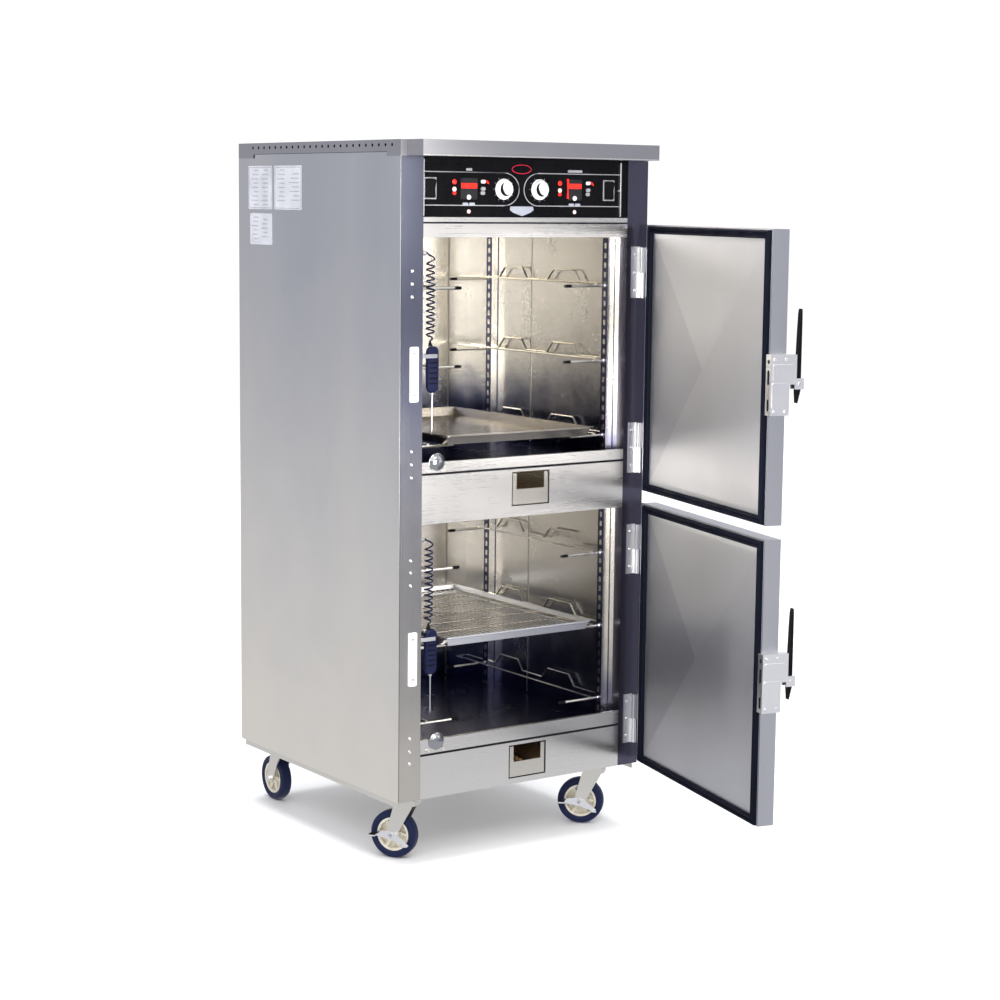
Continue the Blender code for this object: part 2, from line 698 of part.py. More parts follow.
def make_controls():
    high = BODY_TOP - 0.001
    half = OPENING - 0.0005
    fascia = box((-half, FASCIA_FRONT, HEADER_TOP + GAP), (half, FASCIA_FRONT + 0.002, high))
    windows = [
        box((x - SWITCH_HALF[0] - 0.0015, -0.01, CONTROL_HEIGHT - SWITCH_HALF[1] - 0.0025),
            (x + SWITCH_HALF[0] + 0.0015, 0.02, CONTROL_HEIGHT + SWITCH_HALF[1] + 0.0025))
        for x in SWITCH_X.values()
    ]
    place(cut(fascia, *windows), "control_fascia", BLACK)
    chassis = open_box((-0.318, FASCIA_FRONT + 0.0023, 1.662), (0.318, 0.150, 1.792), LINER, 1, -1, False)
    place(chassis, "control_chassis", STEEL)

    for side, x in KNOB_X.items():
        axis = pivot(f"{side}_knob_axis", (x, FASCIA_FRONT, CONTROL_HEIGHT))
        profile = [(0, 0.020), (0.0130, 0.020), (0.0145, 0.018), (0.0165, 0.004), (KNOB_RADIUS, 0.003),
                   (KNOB_RADIUS, 0), (0, 0)]
        facing = Matrix.Translation((x, FASCIA_FRONT - GAP, CONTROL_HEIGHT)) @ Matrix.Rotation(math.pi / 2, 4, "X")
        place(turned(profile, 24, facing), f"{side}_knob", BLACK, axis)
    for side, x in SWITCH_X.items():
        axis = pivot(f"{side}_switch_axis", (x, 0.010, CONTROL_HEIGHT))
        z = CONTROL_HEIGHT
        wide, tall = SWITCH_HALF
        wedge = [(0.017, z - 0.013), (0.017, z + 0.013), (0.001, z + tall), (-0.0030, z + tall),
                 (0.0020, z), (0.0005, z - tall), (0.0040, z - tall)]
        rocker = outline_solid([wedge], ALONG_X, x - wide, x + wide)
        place(rocker, f"{side}_switch", BLACK, axis)


def make_probe(cavity):
    """The bracket on the jamb, the curly cord that leaves its gland, and the probe that it holds."""
    floor = FLOOR[cavity]
    wall = -OPENING + GAP
    exit_z = floor + PROBE_EXIT
    grip_top, grip_low = (floor + rise for rise in PROBE_GRIP)
    strip = box((wall, 0.003, grip_top - 0.050), (wall + 0.002, 0.021, exit_z + 0.014))
    boss_end = wall + 0.014
    boss = cylinder((wall + 0.0075, PROBE_Y, exit_z), "X", 0.006, 0.013, 10)
    prongs = [
        box((wall + 0.001, y, grip_top - 0.030), (PROBE_X + 0.016, y + 0.002, grip_top - 0.020))
        for y in (PROBE_Y - 0.0098, PROBE_Y + 0.0078)
    ]
    place(joined(strip, boss, *prongs), f"{cavity}_probe_bracket", CHROME)

    coil_top, coil_low = (floor + rise for rise in PROBE_COIL)
    start = boss_end + GAP
    route = [(start, exit_z), (start + 0.006, exit_z), (PROBE_X, exit_z - 0.006), (PROBE_X, coil_top + 0.002)]
    thin = [(x, PROBE_Y, z) for x, z in route]
    fat = [(PROBE_X, PROBE_Y, z) for z in (coil_top, coil_low)]
    tail = [(PROBE_X, PROBE_Y, z) for z in (coil_low - 0.002, grip_top + GAP)]
    wire, coil = 0.0025, 0.012
    radii = [1] * len(thin) + [coil / wire] * len(fat) + [1] * len(tail)
    cord = rod(thin + fat + tail, wire, radii, 2)
    place(cord, f"{cavity}_probe_cord", NAVY)

    outline = rounded_rectangle(PROBE_X - 0.0115, grip_low, PROBE_X + 0.0245, grip_top, 0.011)
    grip = outline_solid([outline], ALONG_Y, PROBE_Y - 0.007, PROBE_Y + 0.007)
    place(grip, f"{cavity}_probe", NAVY)


# ---------------------------------------------------------------- casters

def make_caster(name, x, y, heading):
    """A swivel fork with its wheel behind it, and a brake pedal on a front caster."""
    braked = name.startswith("front")
    swivel = pivot(f"{name}_swivel", (x, y, CASTER_TOP))
    axle = pivot(f"{name}_axle", (x - CASTER_TRAIL, y, WHEEL_RADIUS), swivel)
    wheel_x = x - CASTER_TRAIL

    head = cylinder((x, y, CASTER_TOP - 0.0055), "Z", 0.030, 0.011, 16)
    crown = box((x - 0.028, y - 0.0215, 0.146), (x + 0.028, y + 0.0215, CASTER_TOP - 0.009))
    leg = [(x + 0.028, 0.159), (x - 0.028, 0.159), (wheel_x - 0.014, 0.072), (wheel_x - 0.009, 0.052),
           (wheel_x + 0.009, 0.052), (wheel_x + 0.014, 0.060)]
    legs = [outline_solid([leg], ALONG_Y, y + side, y + side + 0.0035) for side in (-0.0215, 0.018)]
    bolt = cylinder((wheel_x, y, WHEEL_RADIUS), "Y", 0.0050, 0.056, 10)
    place(joined(head, crown, *legs, bolt), f"{name}_fork", CHROME, swivel)

    half = WHEEL_WIDTH / 2
    r = WHEEL_RADIUS
    profile = [(0.0056, half), (0.014, half), (0.016, half - 0.005), (0.042, half - 0.005), (0.044, half),
               (r - 0.006, half), (r - 0.002, half - 0.004), (r, half - 0.010), (r, -half + 0.010),
               (r - 0.002, -half + 0.004), (r - 0.006, -half), (0.044, -half), (0.042, -half + 0.005),
               (0.016, -half + 0.005), (0.014, -half), (0.0056, -half), (0.0056, half)]
    upright = Matrix.Translation((wheel_x, y, r)) @ Matrix.Rotation(-math.pi / 2, 4, "X")
    place(turned(profile, 24, upright), f"{name}_wheel", TYRE, axle)

    if braked:
        lock = pivot(f"{name}_brake_pivot", (wheel_x, y, WHEEL_RADIUS), swivel)
        near = y - 0.0252
        bar = [(wheel_x - 0.052, r - 0.004), (wheel_x - 0.050, r + 0.004), (wheel_x - 0.010, r + 0.011),
               (wheel_x + 0.010, r + 0.009), (wheel_x + 0.048, r - 0.020), (wheel_x + 0.046, r - 0.027),
               (wheel_x, r - 0.012)]
        pedal = outline_solid([bar], ALONG_Y, near, near + 0.003)
        tabs = [
            box((wheel_x - 0.056, near - 0.015, r - 0.004), (wheel_x - 0.040, near + 0.002, r)),
            box((wheel_x + 0.036, near - 0.013, r - 0.024), (wheel_x + 0.050, near + 0.002, r - 0.020)),
        ]
        bore = cylinder((wheel_x, near, r), "Y", 0.0054, 0.02, 10)
        joined(pedal, *tabs)
        place(cut(pedal, bore), f"{name}_brake", CHROME, lock)
    swivel.rotation_euler.z = heading - math.pi


def stand_on_origin():
    """Hangs everything on one root and puts the bottom centre of the bounding box at the origin."""
    bpy.context.view_layer.update()
    graph = bpy.context.evaluated_depsgraph_get()
    corners = [
        obj.matrix_world @ vert.co
        for obj in PARTS.objects if not obj.name.endswith("_cord")
        for vert in obj.evaluated_get(graph).data.vertices
    ]
    low = [min(c[i] for c in corners) for i in range(3)]
    high = [max(c[i] for c in corners) for i in range(3)]
    root = bpy.data.objects.new("cabinet_root", None)
    TOOLS.objects.link(root)
    for obj in [*PARTS.objects, *TOOLS.objects]:
        if obj is not root and obj.parent is None:
            obj.parent = root
    root.location = (-(low[0] + high[0]) / 2, -(low[1] + high[1]) / 2, -low[2])
    bpy.context.view_layer.update()


def shade_round_pieces():
    for obj in PARTS.objects:
        obj.data.shade_smooth()
        obj.data.set_sharp_from_angle(angle=math.radians(35))


def build():
    make_outer_shell()
    make_top_cap()
    make_base()
    make_header()
    make_insulation()
    make_liner("upper", UPPER_FLOOR, UPPER_CEILING)
    make_liner("lower", LOWER_FLOOR, LOWER_CEILING)
    make_controls()
    make_power_inlet()
    make_racks()
    for cavity in ("upper", "lower"):
        make_rail(cavity)
        make_heater(cavity)
        make_pan(cavity)
        make_chip_drawer(cavity)
        make_probe(cavity)
        make_door(cavity)
    for name, (x, y, heading) in CASTERS.items():
        make_caster(name, x, y, heading)
    shade_round_pieces()
    stand_on_origin()


build()
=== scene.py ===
"""The proofing cabinet's looks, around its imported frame."""

import json
import math
import random

import bmesh
import bpy
from mathutils import Matrix, Vector


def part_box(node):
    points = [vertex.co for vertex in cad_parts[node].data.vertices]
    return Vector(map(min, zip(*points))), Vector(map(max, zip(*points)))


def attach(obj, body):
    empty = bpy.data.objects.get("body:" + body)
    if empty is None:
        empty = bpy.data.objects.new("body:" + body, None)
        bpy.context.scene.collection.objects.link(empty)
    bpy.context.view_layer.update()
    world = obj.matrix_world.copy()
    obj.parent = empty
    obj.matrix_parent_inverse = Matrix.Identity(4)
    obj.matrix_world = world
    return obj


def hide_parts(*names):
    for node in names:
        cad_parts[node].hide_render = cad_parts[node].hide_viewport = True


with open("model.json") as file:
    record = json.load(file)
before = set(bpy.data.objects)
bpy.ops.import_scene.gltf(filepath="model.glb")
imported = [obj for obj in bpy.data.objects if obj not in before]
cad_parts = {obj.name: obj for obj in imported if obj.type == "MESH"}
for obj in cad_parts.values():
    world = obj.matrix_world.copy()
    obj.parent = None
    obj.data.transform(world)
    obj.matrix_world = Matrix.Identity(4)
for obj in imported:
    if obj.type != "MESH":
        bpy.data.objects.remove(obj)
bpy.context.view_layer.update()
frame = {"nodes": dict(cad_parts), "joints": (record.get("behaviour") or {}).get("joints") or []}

# The cabinet's own layout: X from its middle, Y from the front of its posts, Z from the floor.
WRAP_LOW, WRAP_HIGH = (Vector(corner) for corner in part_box("cabinet_wrap"))
SHIFT = Vector(((WRAP_LOW.x + WRAP_HIGH.x) / 2, WRAP_LOW.y, 0))
HALF = (WRAP_HIGH.x - WRAP_LOW.x) / 2
DEPTH = WRAP_HIGH.y - WRAP_LOW.y
GAP = 0.0003
DOOR_OPEN = math.radians(76.5)
FASCIA_Y = 0.006
CAVITIES = ("upper", "lower")
FLOOR = {"upper": 1.020, "lower": 0.300}
CEILING = {"upper": 1.607, "lower": 0.8885}
DOOR_LOW = {"upper": 0.932, "lower": 0.190}
DOOR_HEIGHT = 0.708
LATCH_MIDDLE = {"upper": 1.268, "lower": 0.546}
HINGE_RISES = (0.048, 0.515)
CASTER_NAMES = ("front_left", "front_right", "rear_left", "rear_right")
MADE = bpy.data.collections.new("looks")
bpy.context.scene.collection.children.link(MADE)


def at(x, y, z):
    return Vector((x, y, z)) + SHIFT


def joint(name):
    for entry in frame["joints"]:
        if entry["name"] == name:
            return entry
    raise KeyError(name)


# ---------------------------------------------------------------- camera, lights and floor

def add_camera():
    yaw, pitch, roll = math.radians(35.19), math.radians(7.73), math.radians(0.62)
    forward = Vector((math.sin(yaw) * math.cos(pitch), math.cos(yaw) * math.cos(pitch), -math.sin(pitch)))
    right = Vector((math.cos(yaw), -math.sin(yaw), 0))
    up = right.cross(forward)
    turned_right = math.cos(roll) * right + math.sin(roll) * up
    turned_up = -math.sin(roll) * right + math.cos(roll) * up
    data = bpy.data.cameras.new("camera")
    data.lens = 79.8
    data.sensor_width = 36
    data.clip_start = 0.05
    data.clip_end = 100
    camera = bpy.data.objects.new("camera", data)
    rows = Matrix((turned_right, turned_up, -forward)).transposed().to_4x4()
    camera.matrix_world = Matrix.Translation(at(-3.341, -4.624, 1.703)) @ rows
    bpy.context.scene.collection.objects.link(camera)
    bpy.context.scene.camera = camera


def area_light(name, place, target, size, power, colour=(1, 1, 1)):
    data = bpy.data.lights.new(name, "AREA")
    data.shape = "RECTANGLE"
    data.size, data.size_y = size
    data.energy = power
    data.color = colour
    lamp = bpy.data.objects.new(name, data)
    lamp.location = at(*place)
    lamp.rotation_euler = (at(*target) - at(*place)).to_track_quat("-Z", "Y").to_euler()
    bpy.context.scene.collection.objects.link(lamp)


def add_world():
    """A white studio: bright above, a darker band at the horizon, and a white backdrop behind."""
    world = bpy.data.worlds.new("studio")
    world.use_nodes = True
    tree = world.node_tree
    tree.nodes.clear()
    out = tree.nodes.new("ShaderNodeOutputWorld")
    place = tree.nodes.new("ShaderNodeTexCoord")
    split = tree.nodes.new("ShaderNodeSeparateXYZ")
    ramp = tree.nodes.new("ShaderNodeValToRGB")
    scale = tree.nodes.new("ShaderNodeMapRange")
    scale.inputs["From Min"].default_value = -1
    scale.inputs["From Max"].default_value = 1
    tree.links.new(place.outputs["Generated"], split.inputs[0])
    tree.links.new(split.outputs["Z"], scale.inputs["Value"])
    tree.links.new(scale.outputs[0], ramp.inputs["Fac"])
    stops = ramp.color_ramp.elements
    stops[0].position = 0.30
    stops[0].color = (0.62, 0.63, 0.66, 1)
    stops[1].position = 1.0
    stops[1].color = (1.0, 1.0, 1.0, 1)
    for where, colour in ((0.46, (0.60, 0.61, 0.66)), (0.53, (0.56, 0.57, 0.63)), (0.66, (0.92, 0.92, 0.94))):
        stop = stops.new(where)
        stop.color = (*colour, 1)
    soft = tree.nodes.new("ShaderNodeBackground")
    soft.inputs["Strength"].default_value = 0.95
    white = tree.nodes.new("ShaderNodeBackground")
    white.inputs["Color"].default_value = (1, 1, 1, 1)
    white.inputs["Strength"].default_value = 1.05
    path = tree.nodes.new("ShaderNodeLightPath")
    mix = tree.nodes.new("ShaderNodeMixShader")
    tree.links.new(ramp.outputs["Color"], soft.inputs["Color"])
    tree.links.new(path.outputs["Is Camera Ray"], mix.inputs["Fac"])
    tree.links.new(soft.outputs[0], mix.inputs[1])
    tree.links.new(white.outputs[0], mix.inputs[2])
    tree.links.new(mix.outputs[0], out.inputs["Surface"])
    bpy.context.scene.world = world
    bpy.context.scene.view_settings.view_transform = "Standard"


# ---------------------------------------------------------------- materials

class Surface:
    """A Principled material with helpers for its procedural detail."""

    def __init__(self, name, colour, roughness, metallic=0.0):
        self.mat = bpy.data.materials.new(name)
        self.mat.use_nodes = True
        self.tree = self.mat.node_tree
        self.shader = self.tree.nodes["Principled BSDF"]
        self.shader.inputs["Base Color"].default_value = (*colour, 1)
        self.shader.inputs["Roughness"].default_value = roughness
        self.shader.inputs["Metallic"].default_value = metallic
        self.coords = self.tree.nodes.new("ShaderNodeTexCoord").outputs["Object"]
        self.bumps = None

    def node(self, kind, **inputs):
        node = self.tree.nodes.new(kind)
        for key, value in inputs.items():
            node.inputs[key.replace("_", " ")].default_value = value
        return node

    def link(self, a, b):
        self.tree.links.new(a, b)

    def noise(self, stretch, scale=1.0, detail=3.0, rough=0.55):
        mapping = self.node("ShaderNodeMapping", Scale=stretch)
        texture = self.node("ShaderNodeTexNoise", Scale=scale, Detail=detail, Roughness=rough)
        self.link(self.coords, mapping.inputs["Vector"])
        self.link(mapping.outputs[0], texture.inputs["Vector"])
        return texture.outputs["Fac"]

    def ranged(self, value, low, high, source=(0.3, 0.7)):
        node = self.node("ShaderNodeMapRange")
        node.inputs["From Min"].default_value = source[0]
        node.inputs["From Max"].default_value = source[1]
        node.inputs["To Min"].default_value = low
        node.inputs["To Max"].default_value = high
        self.link(value, node.inputs["Value"])
        return node.outputs[0]

    def add(self, a, b):
        node = self.node("ShaderNodeMath")
        node.operation = "ADD"
        self.link(a, node.inputs[0])
        self.link(b, node.inputs[1])
        return node.outputs[0]

    def roughness(self, value):
        self.link(value, self.shader.inputs["Roughness"])

    def colours(self, factor, stops):
        ramp = self.node("ShaderNodeValToRGB")
        elements = ramp.color_ramp.elements
        elements[0].position, elements[0].color = stops[0][0], (*stops[0][1], 1)
        elements[1].position, elements[1].color = stops[-1][0], (*stops[-1][1], 1)
        for where, colour in stops[1:-1]:
            elements.new(where).color = (*colour, 1)
        self.link(factor, ramp.inputs["Fac"])
        return ramp.outputs["Color"]

    def height(self):
        split = self.node("ShaderNodeSeparateXYZ")
        self.link(self.coords, split.inputs[0])
        return split.outputs["Z"]

    def mixed(self, factor, a, b):
        node = self.node("ShaderNodeMix")
        node.data_type = "RGBA"
        self.link(factor, node.inputs["Factor"])
        self.link(a, node.inputs[6])
        self.link(b, node.inputs[7])
        return node.outputs[2]

    def colour(self, socket):
        self.link(socket, self.shader.inputs["Base Color"])

    def bump(self, height, strength, distance=0.001):
        node = self.node("ShaderNodeBump", Strength=strength, Distance=distance)
        self.link(height, node.inputs["Height"])
        if self.bumps:
            self.link(self.bumps, node.inputs["Normal"])
        self.bumps = node.outputs[0]
        self.link(self.bumps, self.shader.inputs["Normal"])


def steel(name, colour, rough, grain, warm=None, strength=0.025, reflection_fade=None):
    """Brushed sheet steel: fine lines along one axis, broad soft streaks, and smudges.

    With reflection_fade, a painted reflection takes the colour from one at a low height to another at a high
    one.
    """
    surface = Surface(name, colour, rough, 1.0)
    fine = {"X": (3, 500, 500), "Y": (500, 3, 500), "Z": (500, 500, 3)}[grain]
    broad = {"X": (0.6, 5, 5), "Y": (5, 0.6, 5), "Z": (4, 4, 0.45)}[grain]
    lines = surface.noise(fine, 1.0, 4.0)
    streaks = surface.noise(broad, 1.0, 2.0, 0.4)
    smudges = surface.noise((5, 5, 5), 1.0, 5.0, 0.6)
    spread = surface.add(
        surface.ranged(lines, rough * 0.90, rough * 1.08),
        surface.add(surface.ranged(streaks, -0.02, 0.03), surface.ranged(smudges, -0.015, 0.025)),
    )
    surface.roughness(spread)
    dark = tuple(c * 0.95 for c in colour)
    light = tuple(min(1, c * 1.04) for c in (warm or colour))
    tone = surface.colours(surface.ranged(streaks, 0, 1, (0.30, 0.70)),
                           [(0, dark), (0.5, colour), (1, light)])
    # Painted reflection: below the low height the steel takes the low colour, blending into its own colour
    # above the high height.
    if reflection_fade:
        low, high, low_colour = reflection_fade
        height = surface.ranged(surface.add(surface.height(), surface.ranged(smudges, -0.10, 0.10)), 0, 1,
                                (low, high))
        tone = surface.mixed(height, surface.colours(height, [(0, low_colour), (1, low_colour)]), tone)
    surface.colour(tone)
    surface.bump(lines, strength, 0.0003)
    surface.shader.inputs["Anisotropic"].default_value = 0.35
    return surface.mat


def polished(name, colour, rough, wave=0.03, floor=None):
    """Smooth bright metal. With a floor height, a painted reflection darkens it to a deep blue close to that
    floor.
    """
    surface = Surface(name, colour, rough, 1.0)
    cloud = surface.noise((9, 9, 9), 1.0, 5.0)
    spots = surface.noise((90, 90, 90), 1.0, 3.0)
    surface.roughness(surface.add(surface.ranged(cloud, rough * 0.92, rough * 1.12),
                                  surface.ranged(spots, 0, 0.02)))
    surface.bump(surface.noise((6, 6, 6), 1.0, 1.0), wave, 0.002)
    if floor is None:
        tint = surface.colours(surface.ranged(cloud, 0, 1),
                               [(0, tuple(c * 0.96 for c in colour)), (1, colour)])
    else:
        # Painted reflection: deep blue at the floor height, rising to the metal's own colour some 0.45 m
        # above it.
        rise = surface.ranged(surface.add(surface.height(), surface.ranged(cloud, -0.03, 0.03)), 0, 1,
                              (floor - 0.02, floor + 0.60))
        tint = surface.colours(rise, [(0, (0.055, 0.062, 0.15)), (0.05, (0.070, 0.078, 0.17)),
                                      (0.18, (0.25, 0.26, 0.33)),
                                      (0.36, tuple(c * 0.80 for c in colour)), (0.75, colour), (1, colour)])
    surface.colour(tint)
    return surface.mat


def plastic(name, colour, rough, grain=0.10, scale=900, gloss=0.5):
    surface = Surface(name, colour, rough)
    cells = surface.noise((scale, scale, scale), 1.0, 2.0)
    wear = surface.noise((14, 14, 14), 1.0, 5.0)
    surface.roughness(surface.add(surface.ranged(wear, rough * 0.85, rough * 1.2),
                                  surface.ranged(cells, -0.03, 0.03)))
    surface.bump(cells, grain, 0.0003)
    lifted = tuple(min(1, c * 1.3 + 0.001) for c in colour)
    surface.colour(surface.colours(surface.ranged(wear, 0, 1), [(0, colour), (1, lifted)]))
    surface.shader.inputs["Specular IOR Level"].default_value = gloss
    return surface.mat


def glowing(name, colour, strength):
    surface = Surface(name, colour, 0.25)
    speck = surface.noise((300, 300, 300), 1.0, 2.0)
    surface.roughness(surface.ranged(speck, 0.2, 0.32))
    surface.colour(surface.colours(speck, [(0, colour), (1, tuple(min(1, c * 1.2) for c in colour))]))
    surface.shader.inputs["Emission Color"].default_value = (*colour, 1)
    surface.shader.inputs["Emission Strength"].default_value = strength
    return surface.mat


def wooden(name):
    surface = Surface(name, (0.35, 0.20, 0.09), 0.8)
    rings = surface.noise((60, 60, 900), 1.0, 4.0)
    surface.colour(surface.colours(rings, [(0.25, (0.16, 0.08, 0.03)), (0.5, (0.38, 0.22, 0.10)),
                                           (0.75, (0.55, 0.36, 0.19))]))
    surface.roughness(surface.ranged(rings, 0.7, 0.95))
    surface.bump(rings, 0.5, 0.001)
    return surface.mat


def woolly(name):
    surface = Surface(name, (0.78, 0.70, 0.38), 0.95)
    fibres = surface.noise((80, 400, 80), 1.0, 8.0, 0.7)
    surface.colour(surface.colours(fibres, [(0.3, (0.60, 0.52, 0.25)), (0.7, (0.88, 0.81, 0.50))]))
    surface.bump(fibres, 0.8, 0.004)
    return surface.mat


# Painted reflection: the side panels fade from a cool blue-grey high up to a warm cream low down.
PANEL = steel("side_steel", (0.60, 0.61, 0.645), 0.34, "Z", (0.66, 0.65, 0.64),
              reflection_fade=(0.2, 1.6, (0.90, 0.86, 0.78)))
# Painted reflection: the left post is a dark blue-grey high up, fading to a warm light grey low down.
POST = steel("post_steel", (0.155, 0.165, 0.225), 0.30, "Z", (0.19, 0.20, 0.26),
             reflection_fade=(0.25, 1.20, (0.66, 0.63, 0.57)))
# Painted shade: the right post is a darker copy of the post steel.
SHADED_HINGE_POST = steel("hinge_post_painted_shade", (0.115, 0.110, 0.155), 0.28, "Z")
RAIL = steel("rail_steel", (0.83, 0.81, 0.78), 0.27, "X")
CAP = steel("cap_steel", (0.44, 0.44, 0.465), 0.32, "X")
DOOR = steel("door_steel", (0.56, 0.565, 0.60), 0.30, "Z")
DOOR_INNER = steel("door_inner_steel", (0.57, 0.575, 0.60), 0.44, "Z")
# Painted shade: a darker copy of the door's inner steel, for the hinge-side facets of the cross-break.
DOOR_PAINTED_SHADE = steel("door_inner_painted_shade", (0.50, 0.505, 0.535), 0.44, "Z")
# Each liner carries a painted reflection: deep blue just above its cavity floor.
LINERS = {
    cavity: polished(f"{cavity}_liner_steel", (0.93, 0.90, 0.84), 0.24, 0.02,
                     FLOOR[cavity]) for cavity in CAVITIES
}
CHROME = polished("chrome_bright", (0.92, 0.92, 0.94), 0.14)
GLASSY = polished("plunger_steel", (0.40, 0.41, 0.43), 0.10)
ZINC = polished("zinc_plate", (0.80, 0.78, 0.71), 0.30)
PLATE = polished("bright_plate", (0.97, 0.97, 0.98), 0.30)
# Painted shade: dark navy metal on the rack uprights' inner faces and front edges.
RACK_PAINTED_SHADE = polished("rack_painted_shade", (0.10, 0.105, 0.17), 0.30)
SEAM = polished("liner_seam", (0.42, 0.40, 0.37), 0.35)
WIRE = polished("wire_bright", (0.62, 0.58, 0.52), 0.20)
RACK = polished("rack_steel", (0.90, 0.87, 0.80), 0.24)
PAN = steel("pan_metal", (0.82, 0.83, 0.87), 0.34, "Y")
BAKED_PAN = steel("baked_pan_metal", (0.40, 0.37, 0.33), 0.20, "Y", (0.48, 0.44, 0.39))
CHIP_STEEL = steel("chip_drawer_steel", (0.72, 0.69, 0.62), 0.28, "Y")
BLACK = plastic("panel_black", (0.002, 0.002, 0.003), 0.28, 0.03, 1200, gloss=0.12)
SATIN_BLACK = plastic("satin_black", (0.003, 0.003, 0.004), 0.45, 0.10, gloss=0.12)
SEAL = plastic("seal_rubber", (0.002, 0.003, 0.009), 0.55, 0.15, 500, gloss=0.08)
NAVY = plastic("cord_navy", (0.004, 0.006, 0.034), 0.40, 0.12, gloss=0.22)
TYRE = plastic("tyre_navy", (0.004, 0.009, 0.045), 0.50, 0.3, 350, gloss=0.25)
CREAM = plastic("rim_cream", (0.62, 0.58, 0.48), 0.40, 0.10)
WHITE = plastic("dial_white", (0.90, 0.90, 0.91), 0.30, 0.04)
GREY_PRINT = plastic("printed_grey", (0.30, 0.30, 0.32), 0.45, 0.04)
DIM_PRINT = plastic("printed_dim", (0.016, 0.016, 0.018), 0.40, 0.04, gloss=0.2)
SILVER_PRINT = plastic("printed_silver", (0.32, 0.34, 0.40), 0.35, 0.04)
PLACARD = plastic("placard_grey_film", (0.50, 0.51, 0.55), 0.42, 0.04)
PLACARD_GREY = plastic("placard_print", (0.33, 0.33, 0.37), 0.45, 0.04)
RED = glowing("red_glow", (0.85, 0.015, 0.008), 1.2)
# Painted glow: the badge rim glows faintly, though it is no lamp.
DEEP_RED = glowing("badge_painted_glow", (0.42, 0.008, 0.030), 0.25)
PINK = glowing("pink_glow", (0.90, 0.60, 0.56), 0.35)
WOOD = wooden("wood_chip")
WOOL = woolly("mineral_wool")
# Used for dark joints and seams, the dark strips along the rails, and as painted shade in the latch openings.
DARK = plastic("slot_dark", (0.006, 0.006, 0.010), 0.6, 0.08, gloss=0.2)
HEATER = steel("heater_metal", (0.25, 0.22, 0.20), 0.5, "X")


# ---------------------------------------------------------------- piece helpers

def finish_piece(obj, body, mat, smooth=True, bevel=0.0):
    if mat:
        obj.data.materials.clear()
        obj.data.materials.append(mat)
    if bevel:
        edge = obj.modifiers.new("Edge", "BEVEL")
        edge.width = bevel
        edge.segments = 2
        edge.limit_method = "ANGLE"
        edge.angle_limit = math.radians(40)
    if smooth and obj.type == "MESH":
        obj.data.shade_smooth()
        obj.data.set_sharp_from_angle(angle=math.radians(38))
    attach(obj, body)
    return obj


def mesh_piece(name, verts, faces, body, mat, bevel=0.0, smooth=True):
    mesh = bpy.data.meshes.new(name)
    mesh.from_pydata([tuple(v) for v in verts], [], faces)
    bm = bmesh.new()
    bm.from_mesh(mesh)
    bmesh.ops.remove_doubles(bm, verts=bm.verts, dist=1e-6)
    bmesh.ops.recalc_face_normals(bm, faces=bm.faces)
    bm.to_mesh(mesh)
    bm.free()
    obj = bpy.data.objects.new(name, mesh)
    MADE.objects.link(obj)
    return finish_piece(obj, body, mat, smooth, bevel)


